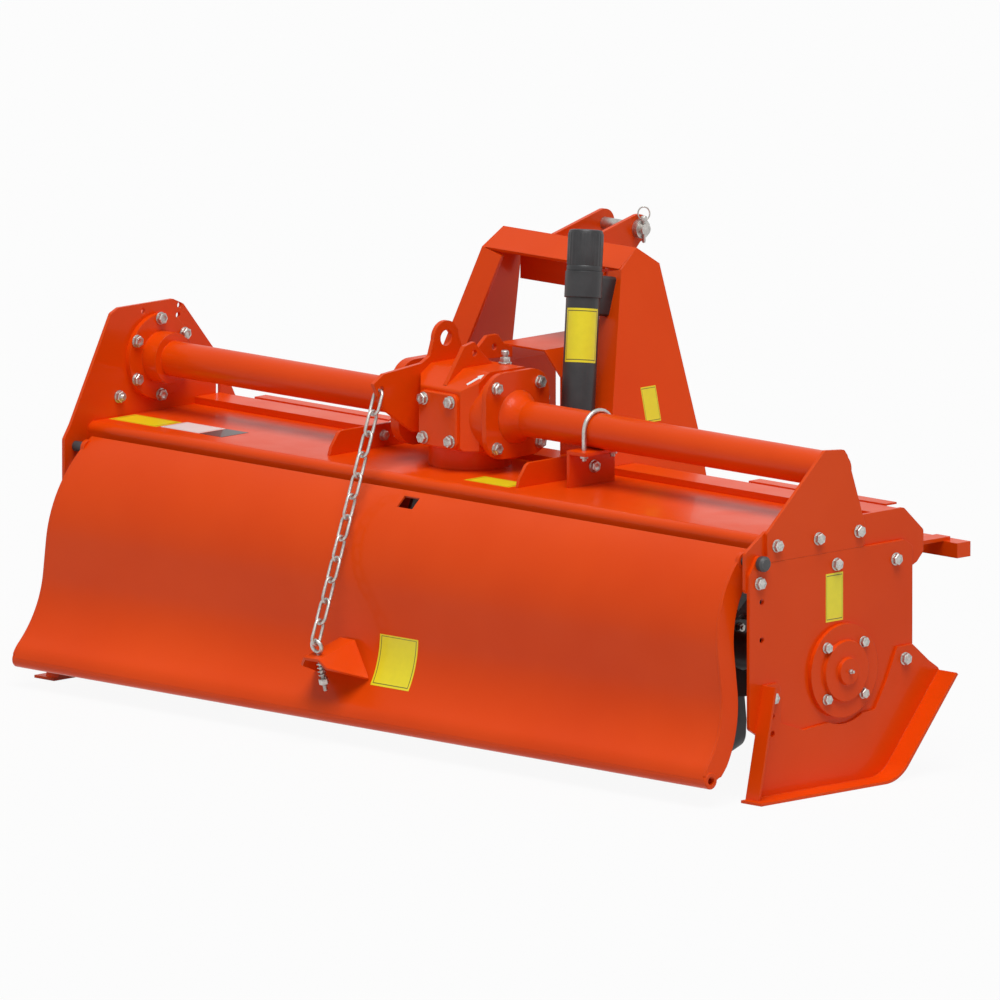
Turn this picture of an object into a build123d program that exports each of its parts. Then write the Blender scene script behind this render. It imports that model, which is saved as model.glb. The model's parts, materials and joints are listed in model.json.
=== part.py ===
from build123d import *
from math import atan2, cos, degrees, radians, sin, sqrt
import os

os.makedirs("parts", exist_ok=True)

# Rotary tiller, in millimetres: +X right, +Y forward, +Z up, origin on the ground under its middle.
# Section points are (forward, up) from the rotor axis, and widths are from the middle plane.

# Machine
inner_width = 2036
half_width = inner_width / 2
side_plate = 8
skid_depth = 246
gap = 0.3

# Cross tube and drive line
tube_height = 423
tube_radius = 38
gearbox_x = -71

# Rotor
rotor_radius = 238
rotor_tube_radius = 44
flange_count = 9
blades_per_flange = 6

# Hood and front beam
hood_sheet = 5
hood_top = 305
hood_rear = -205
beam_sheet = 6
beam_rear = 115
beam_top = 320
beam_crest = 190
beam_front = 250
beam_shoulder = 266
beam_foot = 221

# Hitch, as category II
hitch_half_span = 412
hitch_forward = 440
hitch_height = 154
hitch_nose = 32
hitch_pin_radius = 14
top_pin_forward = 450
top_pin_height = 764
top_pin_radius = 12.5
top_nose = 30

# Tailboard, its hinge and its lip
hinge_forward = -242
hinge_height = 257
hinge_pin_radius = 11
board_sheet = 5
board_side_gap = 31
board_spread = 53
board_top_height = 236
lip_forward = -400
lip_height = -192
lip_radius = 14

# Chain bracket on the tailboard, sloping down to its nose
bracket_x = -87
bracket_root_forward = -348
bracket_root_up = -29
bracket_slope = 15
bracket_bolt = 92
bracket_length = 115

board_half_top = half_width - board_side_gap
board_half_bottom = board_half_top + board_spread

front_reach = top_pin_forward + top_nose
rear_reach = bracket_length * cos(radians(bracket_slope)) - bracket_root_forward
rotor_y = (rear_reach - front_reach) / 2
rotor_z = skid_depth


def across(x):
    """Plane facing right at x, drawn in (forward, up) from the rotor axis."""
    return Plane(origin=(x, rotor_y, rotor_z), x_dir=(0, 1, 0), z_dir=(1, 0, 0))


def facing_back(forward):
    """Plane facing backward, drawn in (x, up) from the rotor axis."""
    return Plane(origin=(0, rotor_y + forward, rotor_z), x_dir=(1, 0, 0), z_dir=(0, -1, 0))


def level(up):
    """Level plane, drawn in (x, forward) from the rotor axis."""
    return Plane(origin=(0, rotor_y, rotor_z + up), x_dir=(1, 0, 0), z_dir=(0, 0, 1))


def leaning(x, up, lean, side):
    """Like across(), with its foot leaning outward on that side by lean degrees."""
    tilt = radians(lean)
    return Plane(
        origin=(x, rotor_y, rotor_z + up),
        x_dir=(0, 1, 0),
        z_dir=(cos(tilt), 0, side * sin(tilt)),
    )


def point(x, forward, up):
    """Place given from the rotor axis, as a vector of the model."""
    return Vector(x, rotor_y + forward, rotor_z + up)


sides = [(-1, "left"), (1, "right")]
plate_round = 10

# Hood: one folded sheet between the side plates, open in front below the beam
hood_points = [
    (hood_rear, beam_shoulder),
    (hood_rear, hood_top),
    (beam_rear + 25, hood_top),
    (beam_front - beam_sheet, beam_foot),
]
with BuildPart() as hood:
    with BuildSketch(across(-half_width)):
        with BuildLine():
            FilletPolyline(*hood_points, radius=18)
            offset(amount=hood_sheet, side=Side.RIGHT)
        make_face()
    extrude(amount=inner_width)
hood.part.label = "hood"
export_step(hood.part, "parts/hood.step")

# Front beam: folded box over the front of the hood
beam_points = [
    (beam_rear, hood_top),
    (beam_rear, beam_top),
    (beam_crest, beam_top),
    (beam_front, beam_shoulder),
    (beam_front, beam_foot),
]
with BuildPart() as front_beam:
    with BuildSketch(across(-half_width)):
        with BuildLine():
            Polyline(*beam_points)
            offset(amount=beam_sheet, side=Side.RIGHT)
        make_face()
    extrude(amount=inner_width)
front_beam.part.label = "front_beam"
export_step(front_beam.part, "parts/front_beam.step")


def beam_envelope():
    """Outline of the beam and hood, to seat what stands on them."""
    return [*beam_points, (beam_rear, beam_foot)]


# Side plates: upper ones carry the hood and hinge, lower ones the rotor and skids
plate_rear = -275
plate_front = 213
plate_crease = 255
plate_bottom = -130
hub_radius = 58
hub_hole = hub_radius + 1
left_top = 540
stop_hole_radius = 6.5
stop_holes = [(-238, 174), (-238, 93)]
left_holes = [(-40, 524), (69, 524), (65, 503), (-29, 502)]
left_slot = (185, 331)

upper_plate_outline = [
    (plate_rear - 5, plate_crease - 60),
    (plate_rear - 5, plate_crease + 26),
    (hood_rear - 13, beam_top + 2),
    (beam_crest + 5, beam_top + 2),
    (beam_front + 4, beam_shoulder + 2),
    (beam_front + 4, beam_foot),
    (beam_front - 16, beam_foot - 20),
    (plate_front - 30, plate_crease - 75),
]
lower_plate_outline = [
    (plate_rear, plate_bottom + 36),
    (plate_rear, plate_crease - 20),
    (plate_rear + 28, plate_crease + 23),
    (hood_rear - 17, plate_crease),
    (beam_crest, plate_crease),
    (plate_front, plate_crease - 15),
    (plate_front, 31),
    (plate_front - 40, plate_bottom + 40),
    (plate_front - 110, plate_bottom),
    (plate_rear + 60, plate_bottom),
]
left_plate_outline = [
    (plate_rear, plate_bottom + 36),
    (plate_rear, plate_crease + 20),
    (plate_rear + 20, plate_crease + 50),
    (-135, left_top - 10),
    (-112, left_top),
    (50, left_top),
    (81, left_top - 14),
    (174, tube_height - 7),
    (229, beam_top + 3),
    (beam_front + 4, beam_shoulder + 10),
    (beam_front + 4, beam_foot),
    (plate_front, plate_crease - 60),
    (plate_front, 31),
    (plate_front - 40, plate_bottom + 40),
    (plate_front - 110, plate_bottom),
    (plate_rear + 60, plate_bottom),
]

with BuildPart() as end_plate_right:
    with BuildSketch(across(half_width)):
        with BuildLine():
            FilletPolyline(*upper_plate_outline, radius=plate_round, close=True)
        make_face()
        with Locations((hinge_forward, hinge_height)):
            Circle(hinge_pin_radius, mode=Mode.SUBTRACT)
    extrude(amount=side_plate)
end_plate_right.part.label = "end_plate_right"
export_step(end_plate_right.part, "parts/end_plate_right.step")

with BuildPart() as side_plate_right:
    with BuildSketch(across(half_width + side_plate)):
        with BuildLine():
            FilletPolyline(*lower_plate_outline, radius=plate_round, close=True)
        make_face()
        Circle(hub_hole, mode=Mode.SUBTRACT)
        with Locations((hinge_forward, hinge_height)):
            Circle(hinge_pin_radius, mode=Mode.SUBTRACT)
        with Locations(*stop_holes):
            Circle(stop_hole_radius, mode=Mode.SUBTRACT)
    extrude(amount=side_plate)
side_plate_right.part.label = "side_plate_right"
export_step(side_plate_right.part, "parts/side_plate_right.step")

with BuildPart() as side_plate_left:
    with BuildSketch(across(-half_width)):
        with BuildLine():
            FilletPolyline(*left_plate_outline, radius=plate_round, close=True)
        make_face()
        Circle(hub_hole, mode=Mode.SUBTRACT)
        with Locations((hinge_forward, hinge_height)):
            Circle(hinge_pin_radius, mode=Mode.SUBTRACT)
        with Locations(*stop_holes, *left_holes):
            Circle(stop_hole_radius, mode=Mode.SUBTRACT)
        with Locations(left_slot):
            SlotOverall(5 * stop_hole_radius, 2 * stop_hole_radius, rotation=90, mode=Mode.SUBTRACT)
    extrude(amount=-side_plate)
side_plate_left.part.label = "side_plate_left"
export_step(side_plate_left.part, "parts/side_plate_left.step")

# Triangular plate that holds the right end of the cross tube
tri_face = half_width + side_plate
tri_outline = [
    (-222, plate_crease + gap),
    (-222, beam_top - 2),
    (-49, tube_height + 51),
    (8, tube_height + 46),
    (18, tube_height + 33),
    (71, beam_top - 18),
    (68, plate_crease + gap),
]
with BuildPart() as tube_plate:
    with BuildSketch(across(tri_face)):
        with BuildLine():
            FilletPolyline(*tri_outline, radius=8, close=True)
        make_face()
    extrude(amount=side_plate)
tube_plate.part.label = "tube_plate"
export_step(tube_plate.part, "parts/tube_plate.step")

# Side drive on the left: case over the drive line and the rotor, with its cover
case_face = half_width + side_plate
case_depth = 62
cover_plate = 6
case_top_radius = 92
case_foot_radius = 104
cover_rim = 8
stub_radius = 25
hub_stand = 14
stub_pocket = 30
with BuildPart() as side_case:
    with BuildSketch(across(-case_face)):
        Circle(case_foot_radius)
        with Locations((0, tube_height)):
            Circle(case_top_radius)
        make_hull()
    extrude(amount=-case_depth)
    with BuildSketch(across(-case_face)):
        Circle(hub_radius)
    extrude(amount=side_plate + hub_stand)
    with BuildSketch(across(-case_face - stub_pocket)):
        Circle(stub_radius + gap)
    extrude(amount=stub_pocket + side_plate + hub_stand, mode=Mode.SUBTRACT)
side_case.part.label = "side_case"
export_step(side_case.part, "parts/side_case.step")

with BuildPart() as case_cover:
    with BuildSketch(across(-case_face - case_depth)):
        Circle(case_foot_radius + cover_rim)
        with Locations((0, tube_height)):
            Circle(case_top_radius + cover_rim)
        make_hull()
    extrude(amount=-cover_plate)
case_cover.part.label = "case_cover"
export_step(case_cover.part, "parts/case_cover.step")

# Rotor bearing in the right side plate, with a domed cap over the shaft's end
bearing_face = half_width + 2 * side_plate
bearing_radius = 100
bearing_flange = 10
dome_radius = 66
dome_rise = 8
boss_radius = 30
boss_rise = 8
boss_taper = 14
with BuildPart() as rotor_bearing:
    with BuildSketch(across(bearing_face)):
        Circle(bearing_radius)
    extrude(amount=bearing_flange)
    with BuildSketch(across(bearing_face + bearing_flange)):
        Circle(dome_radius)
    extrude(amount=dome_rise, taper=boss_taper)
    with BuildSketch(across(bearing_face + bearing_flange + dome_rise)):
        Circle(boss_radius)
    extrude(amount=boss_rise, taper=boss_taper)
    with BuildSketch(across(half_width - hub_stand)):
        Circle(hub_radius)
    extrude(amount=2 * side_plate + hub_stand)
    with BuildSketch(across(half_width - hub_stand)):
        Circle(stub_radius + gap)
    extrude(amount=2 * side_plate + hub_stand + bearing_flange - 4, mode=Mode.SUBTRACT)
rotor_bearing.part.label = "rotor_bearing"
export_step(rotor_bearing.part, "parts/rotor_bearing.step")

# Skids: a web bolted outside each side plate, a sole turned outward and a rear edge turned too
skid_sheet = 6
skid_sole = 60
skid_relief = bearing_radius + 14
skid_rear = -300
skid_bend = 115
skid_tip = (290, -38)
skid_bend_radius = 90
front_bolt = (184, 2)
rear_bolt = (-212, -33)
ear_width = 48
ear_rise = 30
ear_pitch = 38
ear_hole_radius = 6.5
rear_fold_width = 38
skid_upper_points = [
    (skid_tip[0] - 6, skid_tip[1] + 9),
    (front_bolt[0] + 72, front_bolt[1] - 12),
    (front_bolt[0] + 24, front_bolt[1] + 28),
    (front_bolt[0] - 22, front_bolt[1] + 28),
    (front_bolt[0] - 55, front_bolt[1] - 42),
    (95, -95),
    (-120, -112),
    (rear_bolt[0] + ear_width / 2, rear_bolt[1] - 55),
    (rear_bolt[0] + ear_width / 2, rear_bolt[1] + ear_rise - 8),
    (rear_bolt[0] + ear_width / 2 - 8, rear_bolt[1] + ear_rise),
    (rear_bolt[0] - ear_width / 2, rear_bolt[1] + ear_rise),
]
skid_heel = (skid_rear + 12, -skid_depth)
for side, name in sides:
    inner = half_width + side_plate if side < 0 else half_width + 2 * side_plate
    with BuildPart() as skid:
        with BuildSketch(across(side * inner)):
            with BuildLine():
                FilletPolyline(
                    skid_heel,
                    (skid_bend, -skid_depth),
                    skid_tip,
                    radius=skid_bend_radius,
                )
                Polyline(skid_tip, *skid_upper_points, skid_heel)
            make_face()
            Circle(skid_relief, mode=Mode.SUBTRACT)
            with Locations(*[(rear_bolt[0], rear_bolt[1] - step * ear_pitch) for step in (1, 2)]):
                Circle(ear_hole_radius, mode=Mode.SUBTRACT)
        extrude(amount=side * skid_sheet)
        with BuildSketch(across(side * inner)):
            with BuildLine():
                FilletPolyline(
                    (skid_rear, -skid_depth),
                    (skid_bend, -skid_depth),
                    skid_tip,
                    radius=skid_bend_radius,
                )
                offset(amount=skid_sheet, side=Side.LEFT)
            make_face()
        extrude(amount=side * skid_sole)
        with BuildSketch(across(side * inner)):
            with BuildLine():
                Polyline(skid_heel, skid_upper_points[-1])
                offset(amount=skid_sheet, side=Side.RIGHT)
            make_face()
        extrude(amount=side * rear_fold_width)
    skid.part.label = f"skid_{name}"
    export_step(skid.part, f"parts/skid_{name}.step")

# Gearbox: cast body with a barrel round the cross line, on a round pedestal
body_left = -142
body_right = 33
body_chamfer = 28
barrel_radius = 92
neck_radius = 74
barrel_half = 131
pedestal_top = 353
pedestal_radius = 88
body_rear = -105
body_front = 80
body_crown = tube_height + 96
body_shoulder = tube_height + 59
gearbox_section = [
    (body_rear, pedestal_top),
    (body_rear, body_shoulder),
    (-46, body_crown),
    (body_front - 20, body_crown),
    (body_front, body_crown - 20),
    (body_front, pedestal_top),
]
flange_sheet = 12
tube_flange_width = 190
tube_flange_height = 184
tube_flange_round = 52
tube_flange_lift = 6
input_radius = 62
input_neck = 36
input_face = body_front + input_neck
pto_bore = 20
pto_pocket = 50
cast_round = 8
with BuildPart() as gearbox:
    with BuildSketch(across(body_left)):
        with BuildLine():
            FilletPolyline(*gearbox_section, radius=cast_round, close=True)
        make_face()
    extrude(amount=body_right - body_left)
    with BuildSketch(level(pedestal_top)):
        with BuildLine():
            Polyline(
                (body_left, body_front),
                (body_left, body_rear + body_chamfer),
                (body_left + body_chamfer, body_rear),
                (body_right - body_chamfer, body_rear),
                (body_right, body_rear + body_chamfer),
                (body_right, body_front),
                close=True,
            )
        make_face()
    extrude(amount=body_crown - pedestal_top, mode=Mode.INTERSECT)
    with BuildSketch(across(gearbox_x - barrel_half)):
        with Locations((0, tube_height + tube_flange_lift)):
            RectangleRounded(tube_flange_width, tube_flange_height, tube_flange_round)
    extrude(amount=flange_sheet)
    with BuildSketch(across(gearbox_x - barrel_half)):
        with Locations((0, tube_height)):
            Circle(neck_radius)
    extrude(amount=barrel_half)
    with BuildSketch(across(gearbox_x)):
        with Locations((0, tube_height)):
            Circle(barrel_radius)
    extrude(amount=barrel_half)
    with BuildSketch(facing_back(body_front)):
        with Locations((gearbox_x, tube_height)):
            Circle(input_radius)
    extrude(amount=-input_neck)
    with BuildSketch(facing_back(input_face)):
        with Locations((gearbox_x, tube_height)):
            Circle(pto_bore + gap)
    extrude(amount=pto_pocket, mode=Mode.SUBTRACT)
    with BuildSketch(level(hood_top)):
        with Locations((gearbox_x, 0)):
            Circle(pedestal_radius)
    extrude(amount=pedestal_top - hood_top)
gearbox.part.label = "gearbox"
export_step(gearbox.part, "parts/gearbox.step")

cover_sheet = 10
cover_width = 114
cover_height = 118
cover_round = 16
cover_drop = 8
with BuildPart() as gearbox_cover:
    with BuildSketch(facing_back(body_rear)):
        with Locations(((body_left + body_right) / 2, tube_height - cover_drop)):
            RectangleRounded(cover_width, cover_height, cover_round)
    extrude(amount=cover_sheet)
    chamfer(gearbox_cover.faces().sort_by(Axis.Y)[0].edges(), cover_sheet / 4)
gearbox_cover.part.label = "gearbox_cover"
export_step(gearbox_cover.part, "parts/gearbox_cover.step")

# Two lugs on top of the gearbox: one over its sloping back, one reaching to the shield
lug_plate = 10
lug_hole_radius = 7
rear_lug_x = gearbox_x + 21
front_lug_x = gearbox_x - 31
lug_peak_up = body_crown + 52
rear_lug_hole = (-12, body_crown + 28)
front_lug_hole = (99, body_crown + 22)
shield_rear = 154
rear_lug_points = [
    (body_rear + cast_round, body_shoulder + 5),
    (-42, lug_peak_up - 6),
    (-12, lug_peak_up),
    (14, body_crown + 24),
    (42, body_crown),
    (-46, body_crown),
]
front_lug_points = [
    (18, body_crown),
    (78, lug_peak_up - 4),
    (110, lug_peak_up - 4),
    (128, body_crown + 26),
    (shield_rear - gap, body_crown + 16),
    (shield_rear - gap, body_crown - 6),
    (body_front - 20, body_crown),
]
with BuildPart() as gearbox_lugs:
    for lug_x, lug_points, lug_hole in (
        (rear_lug_x, rear_lug_points, rear_lug_hole),
        (front_lug_x, front_lug_points, front_lug_hole),
    ):
        with BuildSketch(across(lug_x - lug_plate / 2)):
            with BuildLine():
                Polyline(*lug_points, close=True)
            make_face()
            with Locations(lug_hole):
                Circle(lug_hole_radius, mode=Mode.SUBTRACT)
        extrude(amount=lug_plate)
    with BuildSketch(across(body_left)):
        with BuildLine():
            FilletPolyline(*gearbox_section, radius=cast_round, close=True)
        make_face()
    extrude(amount=body_right - body_left, mode=Mode.SUBTRACT)
gearbox_lugs.part.label = "gearbox_lugs"
export_step(gearbox_lugs.part, "parts/gearbox_lugs.step")

# Cross tubes, with their flanges on the gearbox and the left side plate
left_flange_radius = 92
collar_radius = 55
collar_length = 40
with BuildPart() as beam_tube:
    with BuildSketch(across(gearbox_x + barrel_half)):
        with Locations((0, tube_height + tube_flange_lift)):
            RectangleRounded(tube_flange_width, tube_flange_height, tube_flange_round)
    extrude(amount=flange_sheet)
    with BuildSketch(across(gearbox_x + barrel_half)):
        with Locations((0, tube_height)):
            Circle(tube_radius)
    extrude(amount=tri_face - gearbox_x - barrel_half)
beam_tube.part.label = "beam_tube"
export_step(beam_tube.part, "parts/beam_tube.step")

left_joint = gearbox_x - barrel_half
with BuildPart() as drive_tube:
    with BuildSketch(across(left_joint)):
        with Locations((0, tube_height + tube_flange_lift)):
            RectangleRounded(tube_flange_width, tube_flange_height, tube_flange_round)
    extrude(amount=-flange_sheet)
    with BuildSketch(across(left_joint)):
        with Locations((0, tube_height)):
            Circle(tube_radius)
    extrude(amount=-half_width - left_joint)
    with BuildSketch(across(-half_width)):
        with Locations((0, tube_height)):
            Circle(left_flange_radius)
    extrude(amount=flange_sheet)
    with BuildSketch(across(-half_width)):
        with Locations((0, tube_height)):
            Circle(collar_radius)
    extrude(amount=flange_sheet + collar_length)
drive_tube.part.label = "drive_tube"
export_step(drive_tube.part, "parts/drive_tube.step")

# Lifting plate on the left face of the gearbox, with its ring and the chain's hole
lift_sheet = 10
ring_forward = 0
ring_up = 567
ring_outer = 37
ring_hole = 17
slot_forward = -195
slot_up = 478
slot_radius = 8.5
with BuildPart() as lifting_plate:
    with BuildSketch(across(body_left)):
        with BuildLine():
            Polyline(
                (-217, 493),
                (-186, 511),
                (-72, 521),
                (-48, 534),
                (ring_forward - ring_outer, ring_up),
                (ring_forward + ring_outer, ring_up),
                (60, 520),
                (body_front, 480),
                (body_front, tube_height - 30),
                (-95, tube_height - 48),
                (-119, 390),
                (-191, 439),
                close=True,
            )
        make_face()
        with Locations((ring_forward, ring_up)):
            Circle(ring_outer)
            Circle(ring_hole, mode=Mode.SUBTRACT)
        with Locations((slot_forward, slot_up)):
            Circle(slot_radius, mode=Mode.SUBTRACT)
        with Locations((0, tube_height)):
            Circle(neck_radius + gap, mode=Mode.SUBTRACT)
    extrude(amount=-lift_sheet)
lifting_plate.part.label = "lifting_plate"
export_step(lifting_plate.part, "parts/lifting_plate.step")

# Ribs on the hood at each side of the gearbox
rib_half_span = 250
rib_sheet = 8
with BuildPart() as hood_ribs:
    for side, name in sides:
        with BuildSketch(across(gearbox_x + side * rib_half_span)):
            with BuildLine():
                Polyline(
                    (hood_rear + 50, hood_top),
                    (hood_rear + 125, hood_top + 42),
                    (beam_rear, hood_top + 42),
                    (beam_rear, hood_top),
                    close=True,
                )
            make_face()
        extrude(amount=side * rib_sheet)
hood_ribs.part.label = "hood_ribs"
export_step(hood_ribs.part, "parts/hood_ribs.step")

# Saddle under the right tube, with its U-bolt
saddle_x = 312
saddle_width = 60
saddle_half = 94
saddle_top = tube_height - tube_radius
u_bolt_radius = 5
with BuildPart() as tube_saddle:
    with BuildSketch(across(saddle_x - saddle_width / 2)):
        with Locations((0, saddle_top - side_plate / 2)):
            Rectangle(2 * saddle_half, side_plate)
    extrude(amount=saddle_width)
    with BuildSketch(across(saddle_x - side_plate / 2)):
        with BuildLine():
            Polyline(
                (-saddle_half - 20, hood_top),
                (-saddle_half, saddle_top - side_plate),
                (saddle_half, saddle_top - side_plate),
                (saddle_half + 15, hood_top),
                close=True,
            )
        make_face()
    extrude(amount=side_plate)
    u_arm = tube_radius + u_bolt_radius
    with Locations((saddle_x, rotor_y - u_arm, rotor_z + saddle_top)):
        Cylinder(u_bolt_radius + gap, 60, mode=Mode.SUBTRACT)
    with Locations((saddle_x, rotor_y + u_arm, rotor_z + saddle_top)):
        Cylinder(u_bolt_radius + gap, 60, mode=Mode.SUBTRACT)
tube_saddle.part.label = "tube_saddle"
export_step(tube_saddle.part, "parts/tube_saddle.step")

with BuildPart() as u_bolt:
    with BuildLine(across(saddle_x)) as u_path:
        Line((-u_arm, saddle_top - 22), (-u_arm, tube_height))
        ThreePointArc((-u_arm, tube_height), (0, tube_height + u_arm), (u_arm, tube_height))
        Line((u_arm, tube_height), (u_arm, saddle_top - 22))
    with BuildSketch(level(saddle_top - 22)):
        with Locations((saddle_x, -u_arm)):
            Circle(u_bolt_radius - gap)
    sweep(path=u_path.wires()[0])
u_bolt.part.label = "u_bolt"
export_step(u_bolt.part, "parts/u_bolt.step")

# Hitch mast: two leaning legs with a rear flange each, under a folded roof
mast_half_top = 200
mast_top = 757
mast_sheet = 8
mast_lean = degrees(atan2(66, 284))
leg_rear_top = 245
leg_front_top = 359
leg_shoulder = 718
leg_flange = 60
leg_slot_length = 78
leg_slot_width = 13
leg_slot_place = (98, 678)
leg_cos = cos(radians(mast_lean))


def leg_point(forward, up):
    """Place on a leg's plane for a point at that height."""
    return (forward, (up - mast_top) / leg_cos)


with BuildPart() as mast:
    for side, name in sides:
        with BuildSketch(leaning(gearbox_x + side * mast_half_top, mast_top, mast_lean, side)):
            with BuildLine():
                Polyline(
                    leg_point(leg_rear_top, leg_shoulder),
                    leg_point(leg_front_top - 59, mast_top),
                    leg_point(leg_front_top, leg_shoulder),
                    leg_point(394, 367),
                    leg_point(396, beam_shoulder),
                    leg_point(beam_crest, beam_shoulder),
                    leg_point(beam_rear, beam_top - 2),
                    close=True,
                )
            make_face()
        extrude(amount=-side * mast_sheet)
        with BuildSketch(leaning(gearbox_x + side * mast_half_top, mast_top, mast_lean, side)):
            with BuildLine():
                Polyline(
                    leg_point(leg_rear_top, leg_shoulder),
                    leg_point(leg_rear_top + mast_sheet, leg_shoulder),
                    leg_point(beam_rear + mast_sheet, beam_top - 2),
                    leg_point(beam_rear, beam_top - 2),
                    close=True,
                )
            make_face()
        extrude(amount=-side * leg_flange)
    with BuildSketch(across(gearbox_x - mast_half_top)):
        with BuildLine():
            Polyline(
                (leg_rear_top, leg_shoulder),
                (leg_front_top - 59, mast_top),
                (leg_front_top, leg_shoulder),
                (leg_front_top, leg_shoulder - 80),
            )
            offset(amount=mast_sheet, side=Side.RIGHT)
        make_face()
    extrude(amount=2 * mast_half_top)
    with BuildSketch(across(gearbox_x - half_width)):
        with BuildLine():
            Polyline(
                *beam_points[:4],
                (hitch_forward, beam_shoulder),
                (hitch_forward, beam_foot),
                (beam_rear, beam_foot),
                close=True,
            )
        make_face()
    extrude(amount=inner_width, mode=Mode.SUBTRACT)
    with BuildSketch(facing_back(leg_rear_top - leg_flange)):
        with Locations(leg_slot_place):
            SlotOverall(leg_slot_length, leg_slot_width, rotation=90 + mast_lean)
    extrude(amount=-leg_flange - mast_sheet, mode=Mode.SUBTRACT)
mast.part.label = "mast"
export_step(mast.part, "parts/mast.step")

# Top link: two lugs on the mast's front and the pin through them
lug_half_span = 46
lug_sheet = 10
with BuildPart() as top_link_lugs:
    for side, name in sides:
        with BuildSketch(across(gearbox_x + side * lug_half_span)):
            with BuildLine():
                Polyline(
                    (leg_front_top - 59, mast_top),
                    (top_pin_forward - 5, top_pin_height + top_nose),
                    (top_pin_forward + 5, top_pin_height - top_nose),
                    (leg_front_top, leg_shoulder - 80),
                    (leg_front_top, leg_shoulder),
                    close=True,
                )
            make_face()
            with Locations((top_pin_forward, top_pin_height)):
                Circle(top_nose)
                Circle(top_pin_radius + gap, mode=Mode.SUBTRACT)
        extrude(amount=side * lug_sheet)
top_link_lugs.part.label = "top_link_lugs"
export_step(top_link_lugs.part, "parts/top_link_lugs.step")

top_pin_half = lug_half_span + lug_sheet + 24
with BuildPart() as top_link_pin:
    with BuildSketch(across(gearbox_x - top_pin_half)):
        with Locations((top_pin_forward, top_pin_height)):
            Circle(top_pin_radius)
    extrude(amount=2 * top_pin_half)
    with BuildSketch(across(gearbox_x + lug_half_span + lug_sheet + gap)):
        with Locations((top_pin_forward, top_pin_height)):
            Circle(top_pin_radius + 8)
    extrude(amount=14)
top_link_pin.part.label = "top_link_pin"
export_step(top_link_pin.part, "parts/top_link_pin.step")

# Lower hitch: a base plate and two cheeks on each side, with a pin that stands out
cheek_gap = 86
cheek_sheet = 10
base_sheet = 8
base_outer = 682
base_inner = hitch_half_span - cheek_gap - 2 * cheek_sheet - 6
base_top = beam_shoulder
pin_reach = 92
for side, name in sides:
    with BuildPart() as hitch_bracket:
        with BuildSketch(facing_back(beam_front)):
            with Locations((gearbox_x + side * (base_inner + base_outer) / 2, (base_top + 100) / 2)):
                Rectangle(base_outer - base_inner, base_top - 100)
        extrude(amount=-base_sheet)
        for cheek in (hitch_half_span - cheek_sheet, hitch_half_span - cheek_gap - 2 * cheek_sheet):
            with BuildSketch(across(gearbox_x + side * cheek)):
                with BuildLine():
                    Polyline(
                        (beam_front, base_top),
                        (beam_front + 60, base_top),
                        (hitch_forward + 12, hitch_height + hitch_nose - 2),
                        (hitch_forward - 10, hitch_height - hitch_nose + 1),
                        (beam_front, 100),
                        close=True,
                    )
                make_face()
                with Locations((hitch_forward, hitch_height)):
                    Circle(hitch_nose)
                    Circle(hitch_pin_radius + gap, mode=Mode.SUBTRACT)
            extrude(amount=side * cheek_sheet)
    hitch_bracket.part.label = f"hitch_bracket_{name}"
    export_step(hitch_bracket.part, f"parts/hitch_bracket_{name}.step")
    with BuildPart() as hitch_pin:
        start = gearbox_x + side * (hitch_half_span - cheek_gap - 2 * cheek_sheet - 12)
        with BuildSketch(across(start)):
            with Locations((hitch_forward, hitch_height)):
                Circle(hitch_pin_radius)
        extrude(amount=side * (cheek_gap + 2 * cheek_sheet + 12 + pin_reach))
        with BuildSketch(across(gearbox_x + side * (hitch_half_span + gap))):
            with Locations((hitch_forward, hitch_height)):
                Circle(hitch_pin_radius + 8)
        extrude(amount=side * 6)
    hitch_pin.part.label = f"hitch_pin_{name}"
    export_step(hitch_pin.part, f"parts/hitch_pin_{name}.step")

# Shield over the power take-off shaft
shield_front = 374
shield_sheet = 4
shield_top = 539
shield_half_top = 70
shield_half = 120
shield_foot = beam_top
with BuildPart() as pto_shield:
    with BuildSketch(facing_back(shield_rear)):
        with BuildLine():
            Polyline(
                (gearbox_x - shield_half, shield_foot),
                (gearbox_x - shield_half, shield_top - 52),
                (gearbox_x - shield_half_top, shield_top),
                (gearbox_x + shield_half_top, shield_top),
                (gearbox_x + shield_half, shield_top - 52),
                (gearbox_x + shield_half, shield_foot),
            )
            offset(amount=shield_sheet, side=Side.RIGHT)
        make_face()
    extrude(amount=shield_rear - shield_front)
pto_shield.part.label = "pto_shield"
export_step(pto_shield.part, "parts/pto_shield.step")

# Front guard: a bar at each side on two arms
bar_forward = 384
bar_depth = 40
bar_height = 32
bar_middle = 207
bar_inner = hitch_half_span + 60
arm_width = 40
for side, name in sides:
    with BuildPart() as front_guard:
        start = gearbox_x + side * bar_inner
        end = side * half_width
        with BuildSketch(across(start)):
            with Locations((bar_forward, bar_middle)):
                Rectangle(bar_depth, bar_height)
        extrude(amount=end - start)
        for arm in (gearbox_x + side * (base_outer + 30), end - side * 60):
            with BuildSketch(level(bar_middle + bar_height / 2)):
                with Locations((arm, (beam_front + bar_forward) / 2)):
                    Rectangle(arm_width, bar_forward - beam_front)
            extrude(amount=side_plate)
    front_guard.part.label = f"front_guard_{name}"
    export_step(front_guard.part, f"parts/front_guard_{name}.step")

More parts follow.
